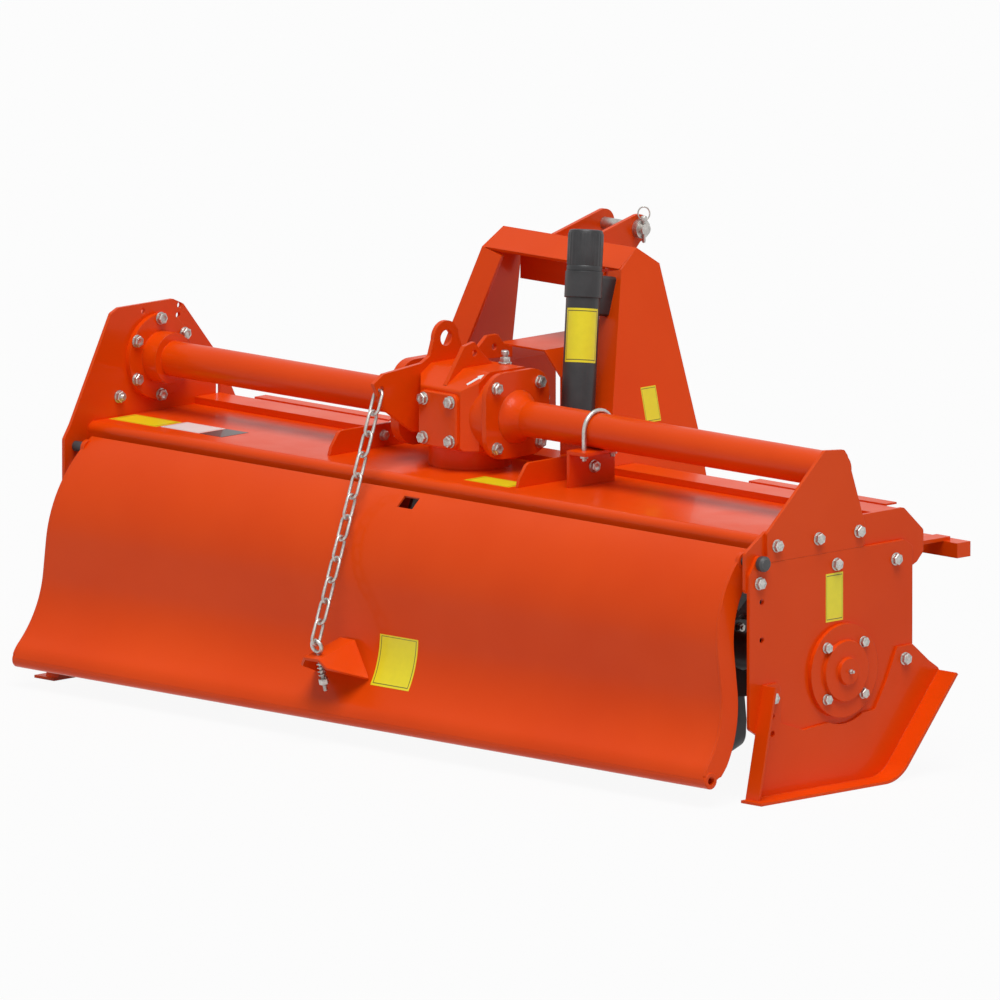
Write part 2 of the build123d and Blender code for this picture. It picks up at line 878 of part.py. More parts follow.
# Guard angles on the slope of the beam
angle_inner = 540
angle_outer = 945
angle_sheet = 4
angle_forward = 222
with BuildPart() as guard_angles:
    for side, name in sides:
        with BuildSketch(across(side * angle_inner)):
            with BuildLine():
                Polyline(
                    (angle_forward, beam_shoulder),
                    (angle_forward, beam_top - 4),
                    (angle_forward + 34, beam_top - 4),
                )
                offset(amount=angle_sheet, side=Side.RIGHT)
            make_face()
        extrude(amount=side * (angle_outer - angle_inner))
    with BuildSketch(across(-half_width)):
        with BuildLine():
            Polyline(*beam_envelope(), close=True)
        make_face()
    extrude(amount=inner_width, mode=Mode.SUBTRACT)
guard_angles.part.label = "guard_angles"
export_step(guard_angles.part, "parts/guard_angles.step")

# Document canister behind the right leg, with its cap and bracket
canister_radius = 36
canister_length = 384
canister_x = 108
canister_forward = 160
canister_foot = 432
canister_drop = Vector(33, -52, -284).normalized()
canister_plane = Plane(
    origin=point(canister_x + 36, canister_forward - 52, canister_foot),
    x_dir=(1, 0, 0),
    z_dir=-canister_drop,
)
cap_length = 70
with BuildPart() as canister:
    with BuildSketch(canister_plane):
        Circle(canister_radius)
    extrude(amount=canister_length - cap_length)
canister.part.label = "canister"
export_step(canister.part, "parts/canister.step")

with BuildPart() as canister_cap:
    with BuildSketch(canister_plane.offset(canister_length - cap_length)):
        Circle(canister_radius + 2)
    extrude(amount=cap_length)
canister_cap.part.label = "canister_cap"
export_step(canister_cap.part, "parts/canister_cap.step")

# Bracket of the canister: a band round it and an arm to the leg's rear flange
band_sheet = 4
band_height = 40
band_rise = 200
with BuildPart() as canister_bracket:
    with BuildSketch(canister_plane.offset(band_rise)):
        Circle(canister_radius + band_sheet)
        with Locations((0, canister_radius + 40)):
            Rectangle(26, 110)
        Circle(canister_radius, mode=Mode.SUBTRACT)
    extrude(amount=band_height)
    with BuildSketch(leaning(gearbox_x + mast_half_top, mast_top, mast_lean, 1)):
        with BuildLine():
            Polyline(
                leg_point(leg_rear_top, leg_shoulder),
                leg_point(beam_rear, beam_top - 2),
                leg_point(leg_front_top, beam_top - 2),
                leg_point(leg_front_top, leg_shoulder),
                close=True,
            )
        make_face()
    extrude(amount=2 * leg_flange, both=True, mode=Mode.SUBTRACT)
canister_bracket.part.label = "canister_bracket"
export_step(canister_bracket.part, "parts/canister_bracket.step")

# Hinge pins of the tailboard
pin_inner = half_width - 50
with BuildPart() as hinge_pins:
    for side, name in sides:
        outer = half_width + side_plate if side < 0 else half_width + 2 * side_plate
        with BuildSketch(across(side * pin_inner)):
            with Locations((hinge_forward, hinge_height)):
                Circle(hinge_pin_radius)
        extrude(amount=side * (outer + 6 - pin_inner))
hinge_pins.part.label = "hinge_pins"
export_step(hinge_pins.part, "parts/hinge_pins.step")

# Tailboard: curved skin between two leaning ends, with a rolled lip
ear_radius = 21
end_sheet = 6
board_bend = 55
board_points = [
    (hinge_forward - 16, hinge_height + 14),
    (-288, 236),
    (-330, 168),
    (-347, 60),
    (-350, -30),
    (-372, -125),
    (lip_forward, lip_height),
]
end_inner_points = [
    (lip_forward + 28, lip_height),
    (-322, -125),
    (-300, -47),
    (-290, 62),
    (-285, 120),
    (-262, 190),
    (hinge_forward + 12, hinge_height - 14),
]
board_fall = (board_half_bottom - board_half_top) / (board_top_height - lip_height)
board_span = 2 * board_half_bottom + 80


def board_half(up):
    """Half width of the tailboard at that height."""
    return board_half_top + (board_top_height - up) * board_fall


def board_face(inset):
    """Outline of the board seen from behind, each side drawn in by inset."""
    top = hinge_height + 40
    foot = lip_height - 40
    return [
        (inset - board_half(top), top),
        (board_half(top) - inset, top),
        (board_half(foot) - inset, foot),
        (inset - board_half(foot), foot),
    ]


with BuildPart() as tailboard:
    with BuildSketch(across(-board_span / 2)):
        with BuildLine():
            FilletPolyline(*board_points, radius=board_bend)
            offset(amount=board_sheet, side=Side.LEFT)
        make_face()
        with Locations((lip_forward, lip_height)):
            Circle(lip_radius, mode=Mode.SUBTRACT)
    extrude(amount=board_span)
    with BuildSketch(facing_back(0)):
        with BuildLine():
            Polyline(*board_face(end_sheet), close=True)
        make_face()
    extrude(amount=board_span, mode=Mode.INTERSECT)
tailboard.part.label = "tailboard"
export_step(tailboard.part, "parts/tailboard.step")

for side, name in sides:
    with BuildPart() as board_end:
        with BuildSketch(across(0)):
            with BuildLine():
                FilletPolyline(*board_points, radius=board_bend)
                Polyline(board_points[-1], *end_inner_points, board_points[0])
            make_face()
            with Locations((hinge_forward, hinge_height)):
                Circle(ear_radius)
                Circle(hinge_pin_radius + gap, mode=Mode.SUBTRACT)
            with Locations((lip_forward, lip_height)):
                Circle(lip_radius, mode=Mode.SUBTRACT)
        extrude(amount=side * board_span)
        with BuildSketch(facing_back(0)):
            with BuildLine():
                outer_edge = [(side * x, up) for x, up in board_face(0)[1:3]]
                inner_edge = [(side * x, up) for x, up in board_face(end_sheet)[1:3]]
                Polyline(*outer_edge, *reversed(inner_edge), close=True)
            make_face()
        extrude(amount=board_span, mode=Mode.INTERSECT)
    board_end.part.label = f"tailboard_end_{name}"
    export_step(board_end.part, f"parts/tailboard_end_{name}.step")

lip_wall = 3
lip_half = board_half(lip_height)
with BuildPart() as tailboard_lip:
    with BuildSketch(across(-lip_half)):
        with Locations((lip_forward, lip_height)):
            Circle(lip_radius)
            Circle(lip_radius - lip_wall, mode=Mode.SUBTRACT)
    extrude(amount=2 * lip_half)
tailboard_lip.part.label = "tailboard_lip"
export_step(tailboard_lip.part, "parts/tailboard_lip.step")

# Chain bracket: a sloping plate with a wing at each side, seated on the skin
bracket_half = 22
bracket_sheet = 6
wing_spread = 87
wing_drop = 78
slope = radians(bracket_slope)
bracket_root = point(bracket_x, bracket_root_forward, bracket_root_up)
bracket_plane = Plane(origin=bracket_root, x_dir=(1, 0, 0), z_dir=(0, -sin(slope), cos(slope)))
eye_wire = 4.5
with BuildPart() as chain_bracket:
    with BuildSketch(bracket_plane):
        with Locations((0, -bracket_length / 2 + 10)):
            Rectangle(2 * bracket_half, bracket_length + 20)
        with Locations((0, -bracket_bolt)):
            Circle(eye_wire + gap, mode=Mode.SUBTRACT)
    extrude(amount=-bracket_sheet)
    for side, name in sides:
        fold_root = bracket_plane.from_local_coords(Vector(side * bracket_half, 20, 0))
        fold_nose = bracket_plane.from_local_coords(Vector(side * bracket_half, -bracket_length, 0))
        foot = point(bracket_x + side * wing_spread, bracket_root_forward - 8, bracket_root_up - wing_drop)
        along = fold_nose - fold_root
        down = foot - fold_root
        wing_plane = Plane(origin=fold_root, x_dir=along, z_dir=along.cross(down))
        foot_place = wing_plane.to_local_coords(foot)
        with BuildSketch(wing_plane):
            with BuildLine():
                Polyline(
                    (0, 0),
                    (along.length, 0),
                    (along.length - 4, 26),
                    (foot_place.X, foot_place.Y),
                    close=True,
                )
            make_face()
        extrude(amount=-side * bracket_sheet)
    with BuildSketch(across(bracket_x - board_half_top / 2)):
        with BuildLine():
            FilletPolyline(*board_points, radius=board_bend)
            Polyline(board_points[-1], (0, lip_height), (0, hinge_height), board_points[0])
        make_face()
    extrude(amount=board_half_top, mode=Mode.SUBTRACT)
chain_bracket.part.label = "chain_bracket"
export_step(chain_bracket.part, "parts/chain_bracket.step")

# Eye-bolt through the bracket, with its spring, washer and nut below
eye_ring = 9
eye_rise = eye_ring + 2 * eye_wire + gap
bolt_length = 84
spring_radius = 9
spring_length = 50
eye_middle = bracket_plane.from_local_coords(Vector(0, -bracket_bolt, eye_rise))
with BuildPart() as chain_eye_bolt:
    with BuildSketch(bracket_plane.offset(-bolt_length)):
        with Locations((0, -bracket_bolt)):
            Circle(eye_wire)
    extrude(amount=bolt_length + eye_wire)
    eye_axis = Axis(eye_middle, bracket_plane.y_dir)
    with BuildSketch(Plane(origin=eye_middle, x_dir=(1, 0, 0), z_dir=bracket_plane.z_dir)):
        with Locations((eye_ring + eye_wire, 0)):
            Circle(eye_wire)
    revolve(axis=eye_axis)
    with BuildSketch(bracket_plane.offset(-bracket_sheet - spring_length)):
        with Locations((0, -bracket_bolt)):
            Circle(spring_radius)
    extrude(amount=spring_length)
    with BuildSketch(bracket_plane.offset(-bracket_sheet - spring_length - 12)):
        with Locations((0, -bracket_bolt)):
            RegularPolygon(11, 6)
    extrude(amount=12)
chain_eye_bolt.part.label = "chain_eye_bolt"
export_step(chain_eye_bolt.part, "parts/chain_eye_bolt.step")

# Chain: links turned by turns, taut from the lifting plate to the eye
wire = 7
link_count = 12
link_half = 14
slack = 1.4
chain_hole = point(body_left - lift_sheet / 2, slot_forward, slot_up)
eye_top = bracket_plane.from_local_coords(
    Vector(0, -bracket_bolt, eye_rise + eye_ring + eye_wire)
)
chain_line = (eye_top - chain_hole).normalized()
chain_top = chain_hole + chain_line * 1.2
chain_foot = eye_top + chain_line * (eye_wire + wire / 2 + 4 * gap)
link_pitch = ((chain_foot - chain_top).length - wire - slack) / link_count
link_inner = link_pitch + slack
first_turn = chain_line.cross(Vector(1, 0, 0)).normalized()
second_turn = chain_line.cross(first_turn).normalized()
with BuildPart() as chain:
    for index in range(link_count):
        middle = chain_top + chain_line * ((link_inner + wire) / 2 + index * link_pitch)
        turn = first_turn if index % 2 == 0 else second_turn
        with BuildSketch(Plane(origin=middle, x_dir=chain_line, z_dir=turn)):
            SlotOverall(link_inner + 2 * wire, 2 * link_half)
            SlotOverall(link_inner, 2 * (link_half - wire), mode=Mode.SUBTRACT)
        extrude(amount=wire / 2, both=True)
chain.part.label = "chain"
export_step(chain.part, "parts/chain.step")

# Rotor: tube with its stub shafts
rotor_half = half_width - 30
stub_end = half_width + 2 * side_plate + 4
with BuildPart() as rotor_tube:
    with BuildSketch(across(-rotor_half)):
        Circle(rotor_tube_radius)
    extrude(amount=2 * rotor_half)
    with BuildSketch(across(-stub_end)):
        Circle(stub_radius)
    extrude(amount=2 * stub_end)
rotor_tube.part.label = "rotor_tube"
export_step(rotor_tube.part, "parts/rotor_tube.step")

# Flanges along the rotor, evenly spaced over the working width
flange_pitch = inner_width / flange_count
flange_radius = 92
flange_plate = 12
flange_turn = 20
with BuildPart() as rotor_flanges:
    for index in range(flange_count):
        middle = (index - (flange_count - 1) / 2) * flange_pitch
        with BuildSketch(across(middle - flange_plate / 2)):
            Circle(flange_radius)
            Circle(rotor_tube_radius, mode=Mode.SUBTRACT)
        extrude(amount=flange_plate)
rotor_flanges.part.label = "rotor_flanges"
export_step(rotor_flanges.part, "parts/rotor_flanges.step")

# Blade: a strip bent to an L, cut to a hook that trails behind
blade_sheet = 8
blade_reach = 96
blade_foot = 52
blade_bend = 28
blade_reach_radius = sqrt(rotor_radius**2 - 30**2)
with BuildPart() as blade:
    with BuildSketch(Plane.XZ):
        with BuildLine():
            FilletPolyline(
                (0, blade_foot),
                (0, blade_reach_radius),
                (blade_reach, blade_reach_radius),
                radius=blade_bend,
            )
            offset(amount=blade_sheet, side=Side.RIGHT)
        make_face()
    extrude(amount=rotor_radius, both=True)
    with BuildSketch(Plane.YZ):
        with BuildLine():
            Polyline(
                (-22, blade_foot),
                (22, blade_foot),
                (34, 130),
                (22, 180),
                (-8, 250),
                (-105, 250),
                (-60, 200),
                (-26, 150),
                close=True,
            )
        make_face()
        Circle(rotor_radius, mode=Mode.INTERSECT)
    extrude(amount=2 * blade_reach, both=True, mode=Mode.INTERSECT)

with BuildPart() as rotor_blades:
    for index in range(flange_count):
        middle = (index - (flange_count - 1) / 2) * flange_pitch
        for spot in range(blades_per_flange):
            turn = spot * 360 / blades_per_flange + index * flange_turn
            flip = 0 if spot % 2 == 0 else 180
            face = flange_plate / 2 if spot % 2 == 0 else -flange_plate / 2
            with Locations(Location((middle + face, rotor_y, rotor_z), (turn, 0, flip))):
                add(blade.part)
rotor_blades.part.label = "rotor_blades"
export_step(rotor_blades.part, "parts/rotor_blades.step")

# Power take-off shaft: journal in the gearbox and a six-splined end
spline_radius = 17.5
spline_root = 15
spline_count = 6
spline_width = 8.5
spline_length = 100
pto_inner = input_face - 50 + 1
with BuildPart() as pto_shaft:
    with BuildSketch(facing_back(pto_inner)):
        with Locations((gearbox_x, tube_height)):
            Circle(pto_bore)
    extrude(amount=pto_inner - input_face - 6)
    with BuildSketch(facing_back(input_face + 6)):
        with Locations((gearbox_x, tube_height)):
            Circle(spline_root)
            with PolarLocations((spline_root + spline_radius) / 2 - 2, spline_count):
                Rectangle(spline_radius - spline_root + 4, spline_width)
            Circle(spline_radius, mode=Mode.INTERSECT)
    extrude(amount=-spline_length)
pto_shaft.part.label = "pto_shaft"
export_step(pto_shaft.part, "parts/pto_shaft.step")
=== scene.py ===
import json
import math

import bmesh
import bpy
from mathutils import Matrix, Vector


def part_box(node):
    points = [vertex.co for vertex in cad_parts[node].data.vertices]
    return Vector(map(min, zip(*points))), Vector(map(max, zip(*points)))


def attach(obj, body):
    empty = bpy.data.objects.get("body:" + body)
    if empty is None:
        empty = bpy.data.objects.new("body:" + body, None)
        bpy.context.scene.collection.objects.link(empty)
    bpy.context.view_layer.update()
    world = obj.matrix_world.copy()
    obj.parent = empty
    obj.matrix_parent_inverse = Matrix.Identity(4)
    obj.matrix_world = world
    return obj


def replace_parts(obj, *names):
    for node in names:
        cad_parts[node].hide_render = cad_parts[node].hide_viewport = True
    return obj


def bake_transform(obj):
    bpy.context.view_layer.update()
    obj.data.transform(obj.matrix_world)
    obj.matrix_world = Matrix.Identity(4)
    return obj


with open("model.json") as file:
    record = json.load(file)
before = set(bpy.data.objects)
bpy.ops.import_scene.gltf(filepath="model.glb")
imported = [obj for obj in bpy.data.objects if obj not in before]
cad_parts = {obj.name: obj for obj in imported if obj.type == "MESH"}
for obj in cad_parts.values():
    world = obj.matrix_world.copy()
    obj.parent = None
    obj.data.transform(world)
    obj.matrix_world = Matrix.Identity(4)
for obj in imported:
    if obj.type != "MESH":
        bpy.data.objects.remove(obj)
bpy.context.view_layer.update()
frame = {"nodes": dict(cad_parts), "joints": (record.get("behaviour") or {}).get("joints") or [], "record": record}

# Places are given from the rotor's axis: x to the right, forward, and up, all in metres
rotorAxis = Vector(next(j["pos_m"] for j in frame["joints"] if j["name"] == "rotor_spin"))
rightward, ahead, upward = Vector((1, 0, 0)), Vector((0, 1, 0)), Vector((0, 0, 1))


def at(x, forward, up):
    return Vector((x, rotorAxis.y + forward, rotorAxis.z + up))


def low(node):
    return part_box(node)[0]


def high(node):
    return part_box(node)[1]


# Camera: a long lens from behind and to the right, a little above the hood
cameraSettings = {
    "azimuth": 45.0,
    "elevation": 9.88,
    "distance": 90.0,
    "frameWidth": 2.1195,
    "aimRight": 0.0134,
    "aimUp": 0.2319,
    "clip": (0.1, 1000),
}


def makeCamera(s):
    turn, tilt = math.radians(s["azimuth"]), math.radians(s["elevation"])
    toward = Vector((-math.sin(turn) * math.cos(tilt), math.cos(turn) * math.cos(tilt), -math.sin(tilt)))
    sideways = Vector((math.cos(turn), math.sin(turn), 0))
    aim = Vector((0, rotorAxis.y, rotorAxis.z))
    aim += sideways * s["aimRight"] + sideways.cross(toward) * s["aimUp"]
    data = bpy.data.cameras.new("longLens")
    data.sensor_width = 36
    data.lens = 36 * s["distance"] / s["frameWidth"]
    data.clip_start, data.clip_end = s["clip"]
    camera = bpy.data.objects.new("longLens", data)
    camera.location = aim - toward * s["distance"]
    camera.rotation_euler = toward.to_track_quat("-Z", "Y").to_euler()
    bpy.context.collection.objects.link(camera)
    bpy.context.scene.camera = camera
    bpy.context.scene.view_settings.view_transform = "Standard"


makeCamera(cameraSettings)
print("camera placed")


# Shader helpers
def newMaterial(name):
    material = bpy.data.materials.new(name)
    material.use_nodes = True
    tree = material.node_tree
    return material, tree.nodes, tree.links, tree.nodes["Principled BSDF"]


def objectPlace(nodes):
    return nodes.new("ShaderNodeTexCoord").outputs["Object"]


def noise(nodes, links, scale, detail):
    texture = nodes.new("ShaderNodeTexNoise")
    texture.inputs["Scale"].default_value = scale
    texture.inputs["Detail"].default_value = detail
    links.new(objectPlace(nodes), texture.inputs["Vector"])
    return texture.outputs["Fac"]


def ramp(nodes, links, source, *stops):
    node = nodes.new("ShaderNodeValToRGB")
    elements = node.color_ramp.elements
    while len(elements) < len(stops):
        elements.new(0.5)
    for element, (position, colour) in zip(elements, stops):
        element.position = position
        element.color = (*colour, 1) if isinstance(colour, tuple) else (colour, colour, colour, 1)
    links.new(source, node.inputs["Fac"])
    return node.outputs["Color"]


def mixColour(nodes, links, share, first, second, mode="MIX"):
    # For colours the mix node's sockets are 0, 6 and 7, and its result is output 2
    node = nodes.new("ShaderNodeMix")
    node.data_type = "RGBA"
    node.blend_type = mode
    for value, index in ((share, 0), (first, 6), (second, 7)):
        if isinstance(value, tuple):
            node.inputs[index].default_value = (*value, 1)
        elif isinstance(value, float):
            node.inputs[index].default_value = value
        else:
            links.new(value, node.inputs[index])
    return node.outputs[2]


def bump(nodes, links, shader, height, strength, depth, normal=None):
    node = nodes.new("ShaderNodeBump")
    node.inputs["Strength"].default_value = strength
    node.inputs["Distance"].default_value = depth
    links.new(height, node.inputs["Height"])
    if normal:
        links.new(normal, node.inputs["Normal"])
    links.new(node.outputs["Normal"], shader.inputs["Normal"])


def mathNode(nodes, links, operation, *values):
    node = nodes.new("ShaderNodeMath")
    node.operation = operation
    for socket, value in zip(node.inputs, values):
        if isinstance(value, float):
            socket.default_value = value
        else:
            links.new(value, socket)
    return node.outputs["Value"]


def drawnRays(nodes, links):
    # 1 for rays that come from the camera, off a gloss or through glass
    path = nodes.new("ShaderNodeLightPath")
    straight = mathNode(nodes, links, "MAXIMUM", path.outputs["Is Camera Ray"], path.outputs["Is Glossy Ray"])
    return mathNode(nodes, links, "MAXIMUM", straight, path.outputs["Is Transmission Ray"])


def spreadRoughness(nodes, links, shader, source, until, first, second):
    # Roughness runs from first to second as the source rises to until
    links.new(ramp(nodes, links, source, (0.3, first), (until, second)), shader.inputs["Roughness"])


def roundedEdges(nodes, links, radius):
    # A softened normal at sharp edges, and a mask that is 1 along them
    bevel = nodes.new("ShaderNodeBevel")
    bevel.samples = 4
    bevel.inputs["Radius"].default_value = radius
    geometry = nodes.new("ShaderNodeNewGeometry")
    dot = nodes.new("ShaderNodeVectorMath")
    dot.operation = "DOT_PRODUCT"
    links.new(bevel.outputs["Normal"], dot.inputs[0])
    links.new(geometry.outputs["Normal"], dot.inputs[1])
    mask = ramp(nodes, links, dot.outputs["Value"], (0.82, 1.0), (0.985, 0.0))
    return bevel.outputs["Normal"], mask


# Painted steel: gloss orange with orange peel, slow tint drift and a painted highlight, a lighter orange laid in
# patches along the sharp edges
# In all materials a grain is (scale, strength, depth)
orangeSettings = {
    "paint": (0.83, 0.071, 0.0012),
    "deep": (0.76, 0.058, 0.0008),
    # The next colour is a painted highlight, laid lighter along the sharp edges
    "edge": (0.86, 0.11, 0.015),
    "driftScale": 2.2,
    # Size of the noise patches that break up the painted edge highlight
    "highlightPatchScale": 38.0,
    "dustScale": 9.0,
    "edgeRadius": 0.0022,
    "roughness": (0.30, 0.42),
    "coat": 0.10,
    "coatRoughness": 0.07,
    "specular": 0.14,
    "peelGrain": (420.0, 0.16, 0.0004),
    "castGrain": (160.0, 0.35, 0.0011),
}


def orangePaint(name, s, cast=False):
    material, nodes, links, shader = newMaterial(name)
    drift = noise(nodes, links, s["driftScale"], 4.0)
    colour = mixColour(nodes, links, ramp(nodes, links, drift, (0.35, 0.0), (0.7, 1.0)), s["paint"], s["deep"])
    softened, mask = roundedEdges(nodes, links, s["edgeRadius"])
    # Painted highlight: the lighter edge colour is mixed in along sharp edges, in noise patches
    highlightPatches = ramp(nodes, links, noise(nodes, links, s["highlightPatchScale"], 6.0), (0.45, 0.15), (0.62, 0.9))
    edgeShare = mixColour(nodes, links, 1.0, mask, highlightPatches, "MULTIPLY")
    links.new(mixColour(nodes, links, edgeShare, colour, s["edge"]), shader.inputs["Base Color"])
    spreadRoughness(nodes, links, shader, noise(nodes, links, s["dustScale"], 8.0), 0.75, *s["roughness"])
    shader.inputs["Coat Weight"].default_value = s["coat"]
    shader.inputs["Coat Roughness"].default_value = s["coatRoughness"]
    shader.inputs["Specular IOR Level"].default_value = s["specular"]
    scale, strength, depth = s["castGrain"] if cast else s["peelGrain"]
    bump(nodes, links, shader, noise(nodes, links, scale, 3.0), strength, depth, softened)
    return material


# Zinc: pale plated steel with faint spangle and duller patches
zincSettings = {
    "bright": (0.66, 0.64, 0.60),
    "dull": (0.42, 0.41, 0.39),
    "spangleScale": 260.0,
    "patchScale": 55.0,
    "roughness": (0.28, 0.5),
    "metallic": 0.85,
    "edgeRadius": 0.0009,
    "grain": (900.0, 0.12, 0.0003),
}


def zincPlate(name, s):
    material, nodes, links, shader = newMaterial(name)
    spangle = nodes.new("ShaderNodeTexVoronoi")
    spangle.inputs["Scale"].default_value = s["spangleScale"]
    links.new(objectPlace(nodes), spangle.inputs["Vector"])
    patches = noise(nodes, links, s["patchScale"], 5.0)
    shade = mixColour(nodes, links, 0.35, patches, spangle.outputs["Color"])
    dullness = ramp(nodes, links, shade, (0.3, 0.0), (0.7, 1.0))
    links.new(mixColour(nodes, links, dullness, s["bright"], s["dull"]), shader.inputs["Base Color"])
    spreadRoughness(nodes, links, shader, patches, 0.7, *s["roughness"])
    shader.inputs["Metallic"].default_value = s["metallic"]
    softened = roundedEdges(nodes, links, s["edgeRadius"])[0]
    scale, strength, depth = s["grain"]
    bump(nodes, links, shader, noise(nodes, links, scale, 2.0), strength, depth, softened)
    return material


# Machined steel with fine turning marks and a film of oil
machinedSettings = {
    "steel": (0.50, 0.50, 0.51),
    "oiled": (0.30, 0.29, 0.27),
    "filmScale": 24.0,
    "roughness": (0.22, 0.4),
    "edgeRadius": 0.0008,
    "marks": (700.0, 0.08, 0.0003),
    "markDistortion": 1.5,
}


def machinedSteel(name, s):
    material, nodes, links, shader = newMaterial(name)
    film = noise(nodes, links, s["filmScale"], 6.0)
    oil = ramp(nodes, links, film, (0.4, 0.0), (0.7, 1.0))
    links.new(mixColour(nodes, links, oil, s["steel"], s["oiled"]), shader.inputs["Base Color"])
    spreadRoughness(nodes, links, shader, film, 0.7, *s["roughness"])
    shader.inputs["Metallic"].default_value = 1.0
    scale, strength, depth = s["marks"]
    marks = nodes.new("ShaderNodeTexWave")
    marks.bands_direction = "Y"
    marks.inputs["Scale"].default_value = scale
    marks.inputs["Distortion"].default_value = s["markDistortion"]
    links.new(objectPlace(nodes), marks.inputs["Vector"])
    softened = roundedEdges(nodes, links, s["edgeRadius"])[0]
    bump(nodes, links, shader, marks.outputs["Fac"], strength, depth, softened)
    return material


# Rotor: dark paint over forged steel, rubbed to bare metal along the edges
rotorSettings = {
    "paint": (0.045, 0.046, 0.050),
    "faded": (0.085, 0.084, 0.086),
    "bare": (0.34, 0.33, 0.32),
    "driftScale": 14.0,
    "scratchScale": 70.0,
    "edgeRadius": 0.003,
    "roughness": (0.62, 0.38),
    "grain": (240.0, 0.3, 0.0006),
}


def rotorPaint(name, s):
    material, nodes, links, shader = newMaterial(name)
    drift = noise(nodes, links, s["driftScale"], 7.0)
    colour = mixColour(nodes, links, ramp(nodes, links, drift, (0.35, 0.0), (0.75, 1.0)), s["paint"], s["faded"])
    softened, mask = roundedEdges(nodes, links, s["edgeRadius"])
    scratches = ramp(nodes, links, noise(nodes, links, s["scratchScale"], 9.0), (0.42, 0.1), (0.6, 1.0))
    edgeShare = mixColour(nodes, links, 1.0, mask, scratches, "MULTIPLY")
    links.new(mixColour(nodes, links, edgeShare, colour, s["bare"]), shader.inputs["Base Color"])
    spreadRoughness(nodes, links, shader, drift, 0.7, *s["roughness"])
    links.new(edgeShare, shader.inputs["Metallic"])
    scale, strength, depth = s["grain"]
    bump(nodes, links, shader, noise(nodes, links, scale, 4.0), strength, depth, softened)
    return material


# Black moulded plastic with a fine leather-like grain
plasticSettings = {
    "body": (0.028, 0.028, 0.030),
    "rubbed": (0.055, 0.055, 0.057),
    "rubScale": 16.0,
    "roughness": (0.36, 0.52),
    "edgeRadius": 0.0012,
    "grain": (620.0, 0.14, 0.0003),
}


def blackPlastic(name, s):
    material, nodes, links, shader = newMaterial(name)
    rub = noise(nodes, links, s["rubScale"], 6.0)
    rubbed = ramp(nodes, links, rub, (0.45, 0.0), (0.8, 1.0))
    links.new(mixColour(nodes, links, rubbed, s["body"], s["rubbed"]), shader.inputs["Base Color"])
    spreadRoughness(nodes, links, shader, rub, 0.75, *s["roughness"])
    scale, strength, depth = s["grain"]
    grain = nodes.new("ShaderNodeTexVoronoi")
    grain.inputs["Scale"].default_value = scale
    links.new(objectPlace(nodes), grain.inputs["Vector"])
    softened = roundedEdges(nodes, links, s["edgeRadius"])[0]
    bump(nodes, links, shader, grain.outputs["Distance"], strength, depth, softened)
    return material


# Printed vinyl: one plain colour inside a thin darker rim, a little dusty
vinylSettings = {
    "tones": {
        "yellow": ((0.92, 0.80, 0.012), (0.10, 0.085, 0.01)),
        "white": ((0.90, 0.90, 0.88), (0.45, 0.44, 0.42)),
        "dark": ((0.035, 0.033, 0.032), (0.10, 0.10, 0.10)),
    },
    "rimStart": 0.445,
    "rimWidth": 0.0125,
    "rimSoftness": 0.004,
    "dustScale": 60.0,
    "dusty": 0.82,
    "roughness": 0.38,
    "coat": 0.25,
    "grain": (300.0, 0.05, 0.0002),
}


def vinyl(name, s, face, rim):
    material, nodes, links, shader = newMaterial(name)
    uv = nodes.new("ShaderNodeUVMap")
    uv.uv_map = "sheet"
    split = nodes.new("ShaderNodeSeparateXYZ")
    links.new(uv.outputs["UV"], split.inputs["Vector"])
    fromMiddle = []
    for axis in ("X", "Y"):
        centred = mathNode(nodes, links, "SUBTRACT", split.outputs[axis], 0.5)
        fromMiddle.append(mathNode(nodes, links, "ABSOLUTE", centred))
    furthest = mathNode(nodes, links, "MAXIMUM", *fromMiddle)
    start, end, soft = s["rimStart"], s["rimStart"] + s["rimWidth"], s["rimSoftness"]
    band = ramp(nodes, links, furthest, (start - soft, 0.0), (start, 1.0), (end, 1.0), (end + soft, 0.0))
    dust = ramp(nodes, links, noise(nodes, links, s["dustScale"], 6.0), (0.35, 0.0), (0.8, 0.35))
    colour = mixColour(nodes, links, dust, face, tuple(s["dusty"] * c for c in face))
    links.new(mixColour(nodes, links, band, colour, rim), shader.inputs["Base Color"])
    shader.inputs["Roughness"].default_value = s["roughness"]
    shader.inputs["Coat Weight"].default_value = s["coat"]
    scale, strength, depth = s["grain"]
    bump(nodes, links, shader, noise(nodes, links, scale, 2.0), strength, depth)
    return material


finish = {
    "sheet": orangePaint("orangeSheet", orangeSettings),
    "cast": orangePaint("orangeCasting", orangeSettings, cast=True),
    "zinc": zincPlate("zincPlate", zincSettings),
    "machined": machinedSteel("machinedSteel", machinedSettings),
    "rotor": rotorPaint("rotorPaint", rotorSettings),
    "plastic": blackPlastic("blackPlastic", plasticSettings),
}
for tone, colours in vinylSettings["tones"].items():
    finish[tone] = vinyl(tone + "Vinyl", vinylSettings, *colours)
slotFinish = {
    "orange_paint": "sheet",
    "galvanised_steel": "zinc",
    "bright_steel": "machined",
    "black_steel": "rotor",
    "black_plastic": "plastic",
}
castNodes = {"gearbox", "gearbox_cover", "gearbox_lugs", "side_case", "rotor_bearing"}
for row in frame["record"]["subparts"]:
    node = frame["nodes"][row["node"]]
    chosen = "cast" if row["node"] in castNodes else slotFinish[row["material_slot"]]
    for slot in node.material_slots:
        slot.material = finish[chosen]
print("materials assigned to", len(frame["nodes"]), "nodes")


# Mesh helpers
def crossFrame(axis):
    axis = axis.normalized()
    side = axis.cross(upward) if abs(axis.z) < 0.9 else axis.cross(ahead)
    side.normalize()
    return axis, side, axis.cross(side)


